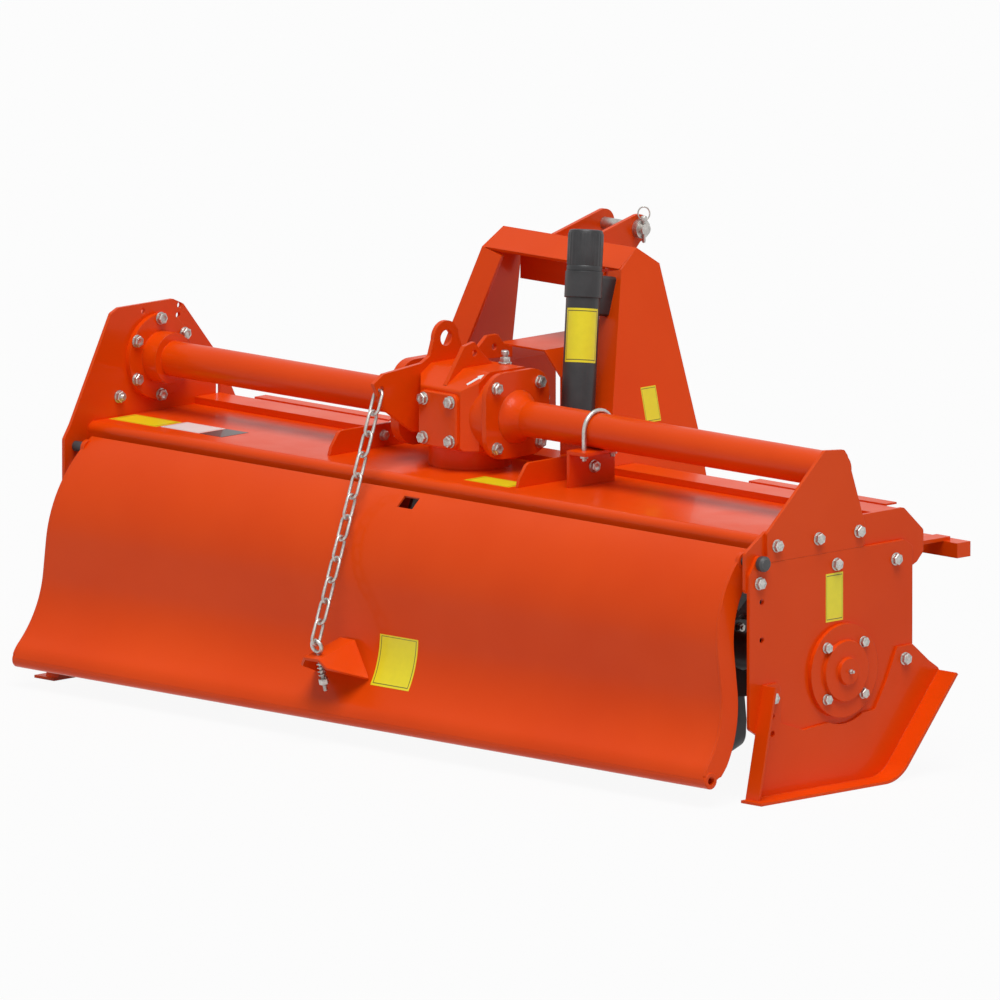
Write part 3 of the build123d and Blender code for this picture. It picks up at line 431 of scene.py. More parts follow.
def lathe(bm, centre, axis, profile, segments=24, turn=0.0, flute=0.0):
    # profile: (distance along the axis, radius); flute sinks every second pair of corners by that share
    axis, side, over = crossFrame(axis)
    angles = [turn + 2 * math.pi * k / segments for k in range(segments)]
    spokes = [(side * math.cos(a) + over * math.sin(a)) * (1 - flute * (k % 4 > 1)) for k, a in enumerate(angles)]
    rings = []
    for along, radius in profile:
        middle = centre + axis * along
        places = [middle] if radius < 1e-6 else [middle + spoke * radius for spoke in spokes]
        rings.append([bm.verts.new(place) for place in places])
    for first, second in zip(rings, rings[1:]):
        for k in range(segments):
            j = (k + 1) % segments
            corners = [first[k % len(first)], first[j % len(first)], second[j % len(second)], second[k % len(second)]]
            loop = [v for i, v in enumerate(corners) if v not in corners[:i]]
            if len(loop) > 2:
                bm.faces.new(loop)


def loft(bm, rings, capped=True):
    # Sides between rings of corners, and a face on each end
    for first, second in zip(rings, rings[1:]):
        for k in range(len(first)):
            j = (k + 1) % len(first)
            bm.faces.new([first[k], first[j], second[j], second[k]])
    if capped:
        bm.faces.new(rings[0])
        bm.faces.new(rings[-1])


def tube(bm, points, radius, sides=10, closed=False):
    count = len(points)
    if closed:
        tangents = [(points[(i + 1) % count] - points[i - 1]).normalized() for i in range(count)]
    else:
        tangents = [(points[min(i + 1, count - 1)] - points[max(i - 1, 0)]).normalized() for i in range(count)]
    side = crossFrame(tangents[0])[1]
    angles = [2 * math.pi * k / sides for k in range(sides)]
    rings = []
    for place, tangent in zip(points, tangents):
        side = (side - tangent * side.dot(tangent)).normalized()
        over = tangent.cross(side)
        rings.append([bm.verts.new(place + (side * math.cos(a) + over * math.sin(a)) * radius) for a in angles])
    if closed:
        # The last ring joins the first at its nearest corner, so that the tube doesn't twist there
        shift = min(range(sides), key=lambda n: (rings[-1][0].co - rings[0][n].co).length)
        rings.append(rings[0][shift:] + rings[0][:shift])
    loft(bm, rings, capped=not closed)


def bar(bm, centre, along, across, length, width, thick):
    # A flat bar with chamfered long edges
    along, across = along.normalized(), across.normalized()
    over = along.cross(across)
    w, t, c = width / 2, thick / 2, min(width, thick) * 0.18
    section = [(w - c, t), (w, t - c), (w, c - t), (w - c, -t), (c - w, -t), (-w, c - t), (-w, t - c), (c - w, t)]
    loft(bm, [[bm.verts.new(centre + along * end + across * a + over * b) for a, b in section]
              for end in (-length / 2, length / 2)])


def plate(bm, outline, first, second):
    # A flat sheet with its outline in forward and up, between two places along x
    loft(bm, [[bm.verts.new(at(x, f, u)) for f, u in outline] for x in (first, second)])


def piece(name, bm, material, body, smoothAngle=35):
    bmesh.ops.recalc_face_normals(bm, faces=bm.faces[:])
    mesh = bpy.data.meshes.new(name)
    bm.to_mesh(mesh)
    bm.free()
    mesh.shade_smooth()
    mesh.set_sharp_from_angle(angle=math.radians(smoothAngle))
    mesh.materials.append(finish[material])
    made = bpy.data.objects.new(name, mesh)
    bpy.context.collection.objects.link(made)
    if body:
        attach(made, body)
    return made


# Hexagon bolts: washer, head with a dished top, and for nuts the end of the thread
boltSizes = {
    "m14": {"flats": 0.022, "head": 0.009, "washer": 0.0138, "thread": 0.007},
    "m12": {"flats": 0.019, "head": 0.008, "washer": 0.0118, "thread": 0.006},
    "m10": {"flats": 0.017, "head": 0.0065, "washer": 0.0102, "thread": 0.005},
}
washerSheet = 0.0024
threadPitch = 0.0015
boltTurn = 0.35


def addBolt(bm, place, axis, size, turn=0.2, nut=False, thread=0.006, segments=24):
    s = boltSizes[size]
    w, t, h = s["washer"], washerSheet, s["head"]
    r, top, dish = s["flats"] / math.sqrt(3), t + h, t + h - h * 0.07
    rim = [(0, 0), (0, w * 0.97), (t * 0.3, w), (t * 0.8, w), (t, w * 0.94), (t, s["flats"] * 0.4)]
    lathe(bm, place, axis, rim, segments)
    head = [(t * 0.9, r * 0.9), (t, r), (top - h * 0.16, r), (top, r * 0.88), (top, r * 0.62)]
    lathe(bm, place, axis, head, 6, turn)
    if nut:
        n = s["thread"]
        crests = [(top - 0.001, n * 0.94)]
        for k in range(max(2, int(thread / threadPitch))):
            crests += [(top + threadPitch * k, n), (top + threadPitch * k + 0.0008, n * 0.9)]
        last = crests[-1][0] + 0.001
        lathe(bm, place, axis, crests + [(last, n * 0.8), (last, 0)], 16)
    lathe(bm, place, axis, [(top, r * 0.63), (dish, r * 0.55), (dish, 0)], segments)


def boltPiece(name, rows):
    # rows: (place, axis, size, is a nut); each bolt is turned a little further than the last
    bm = bmesh.new()
    for index, (place, axis, size, nut) in enumerate(rows):
        addBolt(bm, place, axis, size, turn=boltTurn * index, nut=nut)
    piece(name, bm, "zinc", "frame")


def boltRows(places, x, side=1, size="m14", nut=False):
    return [(at(x, f, u), rightward * side, size, nut) for f, u in places]


# Bolts of the side plates, the bearing, the tubes' flanges and the gearbox's rear cover
boltSettings = {
    "lower": [(-0.246, 0.215), (-0.016, 0.228), (0.162, 0.217)],
    "tubePlate": [(-0.194, 0.289), (-0.070, 0.289), (0.051, 0.290)],
    "leftPlate": [(-0.113, 0.348), (0.202, 0.296)],
    "skid": [(-0.212, -0.033), (0.184, 0.002)],
    "skidSheet": 0.006,
    "nutDepth": 0.016,
    "bearingOut": 0.010,
    "bearingHalf": 0.055,
    "leftFlange": (6, 0.0825, 0.098),
    "flangeSheet": 0.012,
    "gearboxFlange": [(-0.065, 0.362), (-0.065, 0.491), (0.065, 0.362), (0.065, 0.491)],
    "cover": (0.040, 0.042),
}
faceRight, faceLeft = high("side_plate_right").x, low("side_plate_left").x
innerLeft = high("side_plate_left").x
gearboxRight = low("beam_tube").x + boltSettings["flangeSheet"]
gearboxLeft = high("drive_tube").x - boltSettings["flangeSheet"]


def makeFrameBolts(s):
    rows = boltRows(s["lower"] + s["tubePlate"], faceRight)
    rows += boltRows(s["skid"], faceRight + s["skidSheet"])
    rows += boltRows(s["skid"], faceLeft - s["skidSheet"], -1)
    rows += boltRows(s["leftPlate"], innerLeft, nut=True)
    rows += boltRows(s["leftPlate"], faceLeft, -1)
    rows += boltRows(s["lower"], faceRight - s["nutDepth"], -1, nut=True)
    boltPiece("sidePlateBolts", rows)

    half = s["bearingHalf"]
    corners = [(f, u) for f in (-half, half) for u in (-half, half)]
    boltPiece("bearingBolts", boltRows(corners, faceRight + s["bearingOut"], size="m12"))

    count, radius, flangeRadius = s["leftFlange"]
    tubeUp = high("beam_tube").z - rotorAxis.z - flangeRadius
    angles = [math.pi / 2 + 2 * math.pi * k / count for k in range(count)]
    circle = [(-radius * math.cos(a), tubeUp - radius * math.sin(a)) for a in angles]
    rows = boltRows(circle, innerLeft + s["flangeSheet"])
    for spot in s["gearboxFlange"]:
        rows += boltRows([spot], gearboxRight) + boltRows([spot], gearboxLeft, -1)
    boltPiece("tubeFlangeBolts", rows)

    face, middle = low("gearbox_cover").y, (low("gearbox_cover") + high("gearbox_cover")) / 2
    across, rise = s["cover"]
    boltPiece("gearboxCoverBolts", [(Vector((middle.x + dx, face, middle.z + dz)), -ahead, "m14", False)
                                    for dx in (-across, across) for dz in (-rise, rise)])


makeFrameBolts(boltSettings)
print("bolts placed")


# Tailboard: a sheet rolled over at its crest and swept out at its foot, between two leaning ends
# crest: up, radius, degrees; sweep and roll: radius, degrees; notch: left, right, first row, last row
boardSettings = {
    "back": -0.341,
    "crest": (0.068, 0.260, 55.0),
    "waist": -0.005,
    "sweep": (0.220, 42.0),
    "roll": (0.060, 34.0),
    "lipRadius": 0.018,
    "lipBore": 0.009,
    "lipDepth": 0.040,
    "sheet": 0.005,
    "endWidth": 0.047,
    "endSheet": 0.006,
    "halfTop": 0.987,
    "topUp": 0.236,
    "spread": 0.053,
    "notch": (-0.024, 0.022, 1, 3),
    "hinge": (-0.242, 0.257),
    "ear": (0.018, 0.0055),
    "pinRadius": 0.011,
    "pinPlay": 0.0005,
    "knob": [(0, 0.0150), (0.003, 0.0165), (0.013, 0.0165), (0.018, 0.0120), (0.020, 0)],
}


def boardLine(s):
    # (forward, up, inward normal) along the rear of the sheet, from its top edge to the lip
    line = []

    def add(f, u, a):
        line.append((f, u, (math.cos(a), -math.sin(a))))

    crestUp, radius, turn = s["crest"]
    for k in range(17):
        a = math.radians(turn) * (1 - k / 16)
        add(s["back"] + radius * (1 - math.cos(a)), crestUp + radius * math.sin(a), a)
    radius, turn = s["sweep"]
    for k in range(15):
        a = math.radians(turn) * k / 14
        add(s["back"] - radius * (1 - math.cos(a)), s["waist"] - radius * math.sin(a), a)
    f, u = line[-1][:2]
    start, (radius, turn) = math.radians(turn), s["roll"]
    for k in range(1, 9):
        a = start - math.radians(turn) * k / 8
        add(f + radius * (math.cos(start) - math.cos(a)), u - radius * (math.sin(start) - math.sin(a)), a)
    return line


def inward(row, depth):
    # The place that lies so far inside the sheet's rear face
    f, u, n = row
    return f + n[0] * depth, u + n[1] * depth


boardCurve = boardLine(boardSettings)
boardLip = inward(boardCurve[-1], boardSettings["lipRadius"])


def boardHalf(s, up):
    return s["halfTop"] + (s["topUp"] - up) * s["spread"] / (s["topUp"] - boardLip[1])


def makeSkin(s):
    # Each section has 8 places outside and 8 inside; places 3 and 4 are the sides of the notch
    bm = bmesh.new()
    notchLeft, notchRight, notchStart, notchEnd = s["notch"]
    rings = []
    for row in boardCurve:
        ring = []
        for f, u in (inward(row, 0), inward(row, s["sheet"])):
            e = boardHalf(s, u) - s["endSheet"]
            stops = [-e, -e * 0.66, -e * 0.33, notchLeft, notchRight, e * 0.33, e * 0.66, e]
            ring.append([bm.verts.new(at(x, f, u)) for x in stops])
        rings.append(ring)
    for i, (first, second) in enumerate(zip(rings, rings[1:])):
        cut = notchStart <= i < notchEnd
        for layer in (0, 1):
            for k in range(7):
                if not (k == 3 and cut):
                    bm.faces.new([first[layer][k], first[layer][k + 1], second[layer][k + 1], second[layer][k]])
        for k in (0, 7, 3, 4) if cut else (0, 7):
            bm.faces.new([first[0][k], first[1][k], second[1][k], second[0][k]])
    edges = [(rings[i], k) for i in (0, -1) for k in range(7)] + [(rings[i], 3) for i in (notchStart, notchEnd)]
    for (outer, inner), k in edges:
        bm.faces.new([outer[k], outer[k + 1], inner[k + 1], inner[k]])
    skin = piece("tailboardSkin", bm, "sheet", "board", 40)
    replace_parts(skin, "tailboard")


def makeEnds(s):
    # Each end stops above the lip's bore, narrows to the lip's width there, and has an ear round the hinge
    rows = boardCurve[:-2]
    hingeForward, hingeUp = s["hinge"]
    r, half = s["ear"]
    bore = s["pinRadius"] + s["pinPlay"]
    ear = [(-half, bore), (-half, r - 0.001), (0.001 - half, r), (half - 0.001, r), (half, r - 0.001), (half, bore),
           (-half, bore)]
    for side, name in ((-1, "left"), (1, "right")):
        bm = bmesh.new()
        rings = []
        for k, row in enumerate(rows):
            share = max(0, k - len(rows) + 9) / 8
            width = s["endWidth"] + (2 * s["lipRadius"] - s["endWidth"]) * share
            outer, inner = inward(row, 0), inward(row, width)
            corners = ((outer, 0), (inner, 0), (inner, s["endSheet"]), (outer, s["endSheet"]))
            rings.append([bm.verts.new(at(side * (boardHalf(s, p[1]) - inset), *p)) for p, inset in corners])
        loft(bm, rings)
        x = side * (boardHalf(s, hingeUp) - s["endSheet"] / 2)
        lathe(bm, at(x, hingeForward, hingeUp), rightward, ear, 32)
        end = piece("tailboardEnd." + name, bm, "sheet", "board", 40)
        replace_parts(end, "tailboard_end_" + name)


def makeLip(s):
    bm = bmesh.new()
    half, r, bore, depth = boardHalf(s, boardLip[1]), s["lipRadius"], s["lipBore"], s["lipDepth"]
    profile = [(depth - half, 0), (depth - half, bore), (-half, bore), (-half, r - 0.0015), (0.0015 - half, r)]
    profile += [(-along, radius) for along, radius in reversed(profile)]
    lathe(bm, at(0, *boardLip), rightward, profile, 32)
    roll = piece("tailboardRoll", bm, "sheet", "board")
    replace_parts(roll, "tailboard_lip")


def makeKnobs(s):
    bm = bmesh.new()
    r = s["pinRadius"]
    for side, face in ((-1, faceLeft), (1, faceRight)):
        inner = boardHalf(s, s["hinge"][1]) - s["endSheet"] + 0.001
        profile = [(inner, 0), (inner, r - 0.0005), (inner + 0.001, r), (abs(face), r)]
        profile += [(abs(face) + along, radius) for along, radius in s["knob"]]
        lathe(bm, at(0, *s["hinge"]), rightward * side, profile, 28)
    knobs = piece("hingeKnobs", bm, "rotor", "frame")
    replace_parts(knobs, "hinge_pins")


makeSkin(boardSettings)
makeEnds(boardSettings)
makeLip(boardSettings)
makeKnobs(boardSettings)
print("tailboard made")


# Tines' bolts: two through each shank and its flange, heads outside the shank
tineSettings = {
    "pitch": 2.036 / 9,
    "count": 9,
    "perFlange": 6,
    "stagger": 20.0,
    "flange": 0.012,
    "shank": 0.008,
    "thread": 0.0045,
    "segments": 12,
    "holes": [(-0.011, 0.063), (0.009, 0.081)],
}


def makeTineBolts(s):
    bm = bmesh.new()
    for index in range(s["count"]):
        middle = (index - (s["count"] - 1) / 2) * s["pitch"]
        for spot in range(s["perFlange"]):
            side = 1 if spot % 2 == 0 else -1
            turn = math.radians(spot * 360 / s["perFlange"] + index * s["stagger"])
            headX, nutX = middle + side * (s["flange"] / 2 + s["shank"]), middle - side * s["flange"] / 2
            for across, out in s["holes"]:
                f = side * across * math.cos(turn) - out * math.sin(turn)
                u = side * across * math.sin(turn) + out * math.cos(turn)
                addBolt(bm, at(headX, f, u), rightward * side, "m10", turn, segments=s["segments"])
                addBolt(bm, at(nutX, f, u), rightward * -side, "m10", turn, True, s["thread"], s["segments"])
    piece("tineBolts", bm, "zinc", "rotor")


makeTineBolts(tineSettings)
print("tine bolts placed")


# Hook bolt with its spring below the bracket on the tailboard
hookSettings = {
    "root": (-0.087, -0.348, -0.029),
    "slope": 15.0,
    "bolt": 0.092,
    "bracketSheet": 0.006,
    "eyeUp": 0.0183,
    "eyeWire": 0.0045,
    "eyeRing": 0.009,
    "shank": 0.084,
    "threadFrom": 0.012,
    "threadPitch": 0.0013,
    "springLength": 0.050,
    "springSeat": 0.0035,
    "coils": 5,
    "coilSteps": 18,
    "coilRadius": 0.0072,
    "coilWire": 0.0017,
    "washer": [(0, 0.0048), (0, 0.0098), (0.0004, 0.0104), (0.0014, 0.0104), (0.0018, 0.0098), (0.0018, 0.0048),
               (0, 0.0048)],
    "nut": [(0, 0.0046), (0, 0.0100), (0.0008, 0.0108), (0.0108, 0.0108), (0.0116, 0.0100), (0.0116, 0.0046),
            (0, 0.0046)],
}
# Chain of round links from the lifting plate's hole to the hook bolt
chainSettings = {
    "hole": (-0.147, -0.195, 0.478),
    "wire": 0.0035,
    "halfWidth": 0.0117,
    "count": 12,
    "slack": 0.0014,
    "play": 0.0012,
    "bend": 0.6,
}


def bracketPoint(s, forward, up):
    # A place in the bracket's middle plane: forward along its slope, up square to it
    c, d = math.cos(math.radians(s["slope"])), math.sin(math.radians(s["slope"]))
    x, f, u = s["root"]
    return at(x, f + forward * c - up * d, u + forward * d + up * c)


def makeChain(s, hook):
    eyeTop = bracketPoint(hook, -hook["bolt"], hook["eyeUp"] + hook["eyeRing"] + hook["eyeWire"])
    hole = at(*s["hole"])
    line = (eyeTop - hole).normalized()
    top = hole + line * s["play"]
    foot = eyeTop + line * (hook["eyeWire"] + s["wire"] + s["play"])
    pitch = ((foot - top).length - 2 * s["wire"] - s["slack"]) / s["count"]
    length = pitch + s["slack"] + 2 * s["wire"]
    straight = length / 2 - s["halfWidth"]
    flat = line.cross(rightward).normalized()
    # Every second link is turned by a quarter
    turns = [line.cross(flat).normalized(), line.cross(line.cross(flat)).normalized()]
    bm = bmesh.new()
    for index in range(s["count"]):
        middle = top + line * (length / 2 + index * pitch)
        over = turns[index % 2]
        points = []
        for end in (1, -1):
            for k in range(9):
                a = math.pi * k / 8
                reach = straight + s["halfWidth"] * math.sin(a)
                points.append(middle + (line * reach + over * s["halfWidth"] * math.cos(a)) * end)
        tube(bm, points, s["wire"], 10, closed=True)
    links = piece("chainLinks", bm, "zinc", None, 60)
    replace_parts(links, "chain")
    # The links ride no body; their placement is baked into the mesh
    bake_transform(links)


def makeHook(s):
    bm = bmesh.new()
    down = (bracketPoint(s, 0, -1) - bracketPoint(s, 0, 0)).normalized()
    root, eye = bracketPoint(s, -s["bolt"], 0), bracketPoint(s, -s["bolt"], s["eyeUp"])
    w, radius = s["eyeWire"], s["eyeRing"] + s["eyeWire"]
    turns = [2 * math.pi * k / 28 for k in range(28)]
    tube(bm, [eye + (rightward * math.cos(a) - down * math.sin(a)) * radius for a in turns], w, 12, closed=True)

    # Shank, threaded beyond the nut
    sheet, seat, step = s["bracketSheet"], s["bracketSheet"] + s["springLength"], s["threadPitch"]
    thread = seat + s["threadFrom"]
    shank = [(-w - 0.001, 0), (-w - 0.001, w * 0.9), (0, w), (thread, w)]
    for k in range(int((s["shank"] - thread) / step) - 1):
        shank += [(thread + step * (k + 0.5), w * 0.88), (thread + step * (k + 1), w)]
    last = shank[-1][0] + 0.001
    lathe(bm, root, down, shank + [(last, w * 0.8), (last, 0)], 16)

    start, end, steps = sheet + s["springSeat"], seat - s["springSeat"], s["coils"] * s["coilSteps"]
    side, over = crossFrame(down)[1:]
    helix = []
    for k in range(steps + 1):
        a = 2 * math.pi * k / s["coilSteps"]
        out = (side * math.cos(a) + over * math.sin(a)) * s["coilRadius"]
        helix.append(root + down * (start + (end - start) * k / steps) + out)
    tube(bm, helix, s["coilWire"], 8)
    for along in (sheet, seat - s["washer"][-2][0]):
        lathe(bm, root + down * along, down, s["washer"], 24)
    lathe(bm, root + down * seat, down, s["nut"], 6)
    hook = piece("springBolt", bm, "zinc", "board", 40)
    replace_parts(hook, "chain_eye_bolt")


makeChain(chainSettings, hookSettings)
makeHook(hookSettings)
print("chain made")


# Document canister: fluted screw cap, and a clip with a spine that holds it to the leg's rear flange
canisterSettings = {
    "foot": (0.144, 0.108, 0.432),
    "axis": (-0.033, 0.052, 0.284),
    "bodyRadius": 0.036,
    "length": 0.384,
    "cap": 0.089,
    "capInset": 0.0005,
    "capRadius": 0.038,
    "collar": 0.012,
    "flutes": 24,
    "fluteDepth": 0.024,
    "clip": (0.239, 0.295),
    "clipWall": 0.004,
    "spine": (0.048, 0.026, 0.085),
    "spinePlace": (0.022, -0.020),
}


def makeCanister(s):
    foot, axis = at(*s["foot"]), Vector(s["axis"]).normalized()
    bm = bmesh.new()
    r, start, end = s["capRadius"], s["length"] - s["cap"], s["length"] - s["capInset"]
    top = start + s["collar"]
    collar = [(start, s["bodyRadius"] + 0.0002), (start, r - 0.0006), (start + 0.001, r), (top - 0.002, r),
              (top, r - 0.0012)]
    grip = [(top, r - 0.0010), (top + 0.002, r), (end - 0.010, r), (end - 0.007, r - 0.001)]
    crown = [(end - 0.010, r - 0.0014), (end - 0.004, r - 0.0018), (end - 0.0012, r - 0.0035), (end, r - 0.007),
             (end, 0.014), (end - 0.0015, 0.013), (end - 0.0015, 0)]
    lathe(bm, foot, axis, collar, 48)
    lathe(bm, foot, axis, grip, 4 * s["flutes"], flute=s["fluteDepth"])
    lathe(bm, foot, axis, crown, 48)
    cap = piece("canisterCap", bm, "plastic", "frame")
    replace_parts(cap, "canister_cap")

    bm = bmesh.new()
    (a, b), r, wall = s["clip"], s["bodyRadius"], s["clipWall"]
    ring = [(a, r), (a, r + wall - 0.001), (a + 0.001, r + wall), (b - 0.001, r + wall), (b, r + wall - 0.001),
            (b, r), (a, r)]
    lathe(bm, foot, axis, ring, 48)
    reach = rightward.cross(axis).normalized() * -1
    out, along = s["spinePlace"]
    bar(bm, foot + axis * ((a + b) / 2 + along) + reach * (r + out), reach, rightward, *s["spine"])
    clip = piece("canisterClip", bm, "plastic", "frame")
    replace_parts(clip, "canister_bracket")


makeCanister(canisterSettings)
print("canister made")


# Breather on the gearbox, grease nipple on the bearing, lynch pin in the top link's pin
# Each turned shape is (corners round, [(distance along the axis, radius), ...])
smallSettings = {
    "gearboxBreather": {
        "place": (-0.021, 0.055, 0.519),
        "axis": upward,
        "shapes": [
            (24, [(-0.002, 0), (-0.002, 0.013), (0.003, 0.014), (0.004, 0.0135), (0.004, 0.010)]),
            (6, [(0.003, 0.010), (0.004, 0.011), (0.013, 0.011), (0.0145, 0.0098), (0.0145, 0.006)]),
            (24, [(0.0140, 0.0062), (0.020, 0.0062), (0.020, 0.0085), (0.027, 0.0085), (0.029, 0.0065), (0.029, 0)]),
        ],
    },
    "bearingNipple": {
        "place": (1.060, 0.0, 0.0),
        "axis": rightward,
        "shapes": [
            (6, [(-0.001, 0), (-0.001, 0.0052), (0.0045, 0.0052), (0.005, 0.0045), (0.005, 0.003)]),
            (20, [(0.0045, 0.0031), (0.0075, 0.0024), (0.0090, 0.0033), (0.0110, 0.0033), (0.0120, 0.0020),
                  (0.0120, 0)]),
        ],
    },
    "topPinLynch": {
        "place": (0.001, 0.450, 0.764),
        "axis": upward,
        "shapes": [
            (20, [(-0.030, 0), (-0.029, 0.0030), (-0.026, 0.0040), (0.018, 0.0040), (0.018, 0.0070), (0.026, 0.0070),
                  (0.028, 0.0055), (0.028, 0)]),
        ],
        "ring": {"up": 0.0335, "half": (0.0125, 0.0145), "wire": 0.0016},
        "smoothAngle": 40,
    },
}


def makeSmallPart(name, s):
    bm = bmesh.new()
    place = at(*s["place"])
    for segments, profile in s["shapes"]:
        lathe(bm, place, s["axis"], profile, segments)
    if "ring" in s:
        ring = s["ring"]
        wide, tall = ring["half"]
        slant = (rightward + ahead).normalized()
        turns = [2 * math.pi * k / 32 for k in range(32)]
        middle = place + upward * ring["up"]
        loop = [middle + slant * wide * math.cos(a) + upward * tall * math.sin(a) for a in turns]
        tube(bm, loop, ring["wire"], 8, closed=True)
    piece(name, bm, "zinc", "frame", s.get("smoothAngle", 35))


for name, settings in smallSettings.items():
    makeSmallPart(name, settings)


# Ribs on the hood, and the angle under the right tube with its U-bolt
ribSettings = {
    "middle": -0.071,
    "halfSpan": 0.278,
    "sheet": 0.008,
    "bolt": (0.017, 0.330),
    "outline": [(-0.142, 0.305), (-0.137, 0.322), (-0.116, 0.351), (-0.108, 0.355), (0.115, 0.355), (0.115, 0.305)],
}
saddleSettings = {
    "flange": (0.286, 0.340),
    "half": 0.068,
    "sheet": 0.008,
    "top": 0.385,
    "hood": 0.305,
    "tubeUp": 0.423,
    "uBolt": (0.313, 0.043, 0.005),
    "uBoltEnd": 0.022,
    "plateBolt": (0.004, 0.344),
}


def makeSaddle(s, r):
    bm = bmesh.new()
    rows = []
    for side in (-1, 1):
        x = r["middle"] + side * r["halfSpan"]
        plate(bm, r["outline"], x, x + side * r["sheet"])
        rows += boltRows([r["bolt"]], x + r["sheet"] * (side > 0), size="m12")
    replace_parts(piece("hoodRibs", bm, "sheet", "frame"), "hood_ribs")

    bm = bmesh.new()
    left, right = s["flange"]
    h, t, top, hood = s["half"], s["sheet"], s["top"], s["hood"]
    plate(bm, [(-h, top - t), (-h, top), (h, top), (h, top - t)], left, right)
    plate(bm, [(-h, hood), (-h, top - t), (h, top - t), (h, hood)], left, left + t)
    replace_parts(piece("tubeSaddle", bm, "sheet", "frame"), "tube_saddle")

    x, arm, wire = s["uBolt"]
    arc = [(-arm * math.cos(math.pi * k / 16), s["tubeUp"] + arm * math.sin(math.pi * k / 16)) for k in range(1, 16)]
    heights = [top - s["uBoltEnd"], top, s["tubeUp"]]
    path = [(-arm, u) for u in heights] + arc + [(arm, u) for u in reversed(heights)]
    bm = bmesh.new()
    tube(bm, [at(x, f, u) for f, u in path], wire, 14)
    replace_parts(piece("tubeUBolt", bm, "zinc", "frame", 50), "u_bolt")
    rows += [(at(x, side * arm, top - t), -upward, "m10", True) for side in (-1, 1)]
    rows += boltRows([s["plateBolt"]], left + t)
    boltPiece("saddleBolts", rows)


makeSaddle(saddleSettings, ribSettings)
print("saddle and ribs made")


# Swept neck where the right tube meets its flange on the gearbox
neckSettings = {
    "tubeUp": 0.423,
    "profile": [(0.0, 0.0375), (0.0, 0.058), (0.004, 0.0525), (0.011, 0.0465), (0.021, 0.0418), (0.032, 0.0392),
                (0.040, 0.0382), (0.040, 0.0375), (0.0, 0.0375)],
}


def makeNeck(s):
    bm = bmesh.new()
    lathe(bm, at(gearboxRight, 0, s["tubeUp"]), rightward, s["profile"], 48)
    piece("tubeNeck", bm, "cast", "frame", 50)


makeNeck(neckSettings)


# Blank vinyl plates: a thin raised sheet on each flat face, and curved ones on the tailboard and canister
# hood: left, right, back, front, tone; side and leg: back, front, foot, top; board: left, right, foot, top
plateSettings = {
    "thickness": 0.0005,
    "sink": 1.4,
    "hoodUp": 0.305,
    "hood": {
        "hoodYellowLeft": (-1.010, -0.868, -0.150, -0.072, "yellow"),
        "hoodWhite": (-0.862, -0.746, -0.142, -0.062, "white"),
        "hoodDark": (-0.742, -0.676, -0.142, -0.062, "dark"),
        "hoodYellowMiddle": (0.064, 0.196, -0.152, -0.090, "yellow"),
    },
    "side": (-0.047, 0.004, 0.107, 0.210),
    "board": (0.002, 0.116, -0.115, -0.009),
    "canister": (0.101, 0.216, 62.0),
    "canisterFacing": (1, -1, 0),
    "leg": (0.244, 0.289, 0.397, 0.471),
    "legTop": (0.129, 0.757),
    "legLean": 66 / 284,
}


def gridSheet(name, rows, normals, tone, body):
    # rows of places from the foot up, each with its normals, lifted off the surface, with a border that sinks into it
    bm = bmesh.new()
    uv = bm.loops.layers.uv.new("sheet")
    lift = plateSettings["thickness"]
    made, where, facing = [], {}, {}
    for i, (row, line) in enumerate(zip(rows, normals)):
        made.append([])
        for k, (place, normal) in enumerate(zip(row, line)):
            vert = bm.verts.new(place + normal * lift)
            where[vert] = (k / (len(row) - 1), i / (len(rows) - 1))
            facing[vert] = normal
            made[-1].append(vert)
    for first, second in zip(made, made[1:]):
        for k in range(len(first) - 1):
            for loop in bm.faces.new([first[k], first[k + 1], second[k + 1], second[k]]).loops:
                loop[uv].uv = where[loop.vert]
    border = made[0][:-1] + [row[-1] for row in made[:-1]] + made[-1][:0:-1] + [row[0] for row in made[:0:-1]]
    foot = [bm.verts.new(v.co - facing[v] * lift * plateSettings["sink"]) for v in border]
    loft(bm, [border, foot], capped=False)
    piece(name, bm, tone, body, 50)


def flatSheet(name, rows, normal, tone):
    gridSheet(name, rows, [[normal] * len(row) for row in rows], tone, "frame")


def curvePoint(up):
    # The tailboard's place and normal at a height
    for (f1, u1, n), (f2, u2, _) in zip(boardCurve, boardCurve[1:]):
        if u2 <= up <= u1:
            return f1 + (f2 - f1) * (u1 - up) / (u1 - u2), up, n


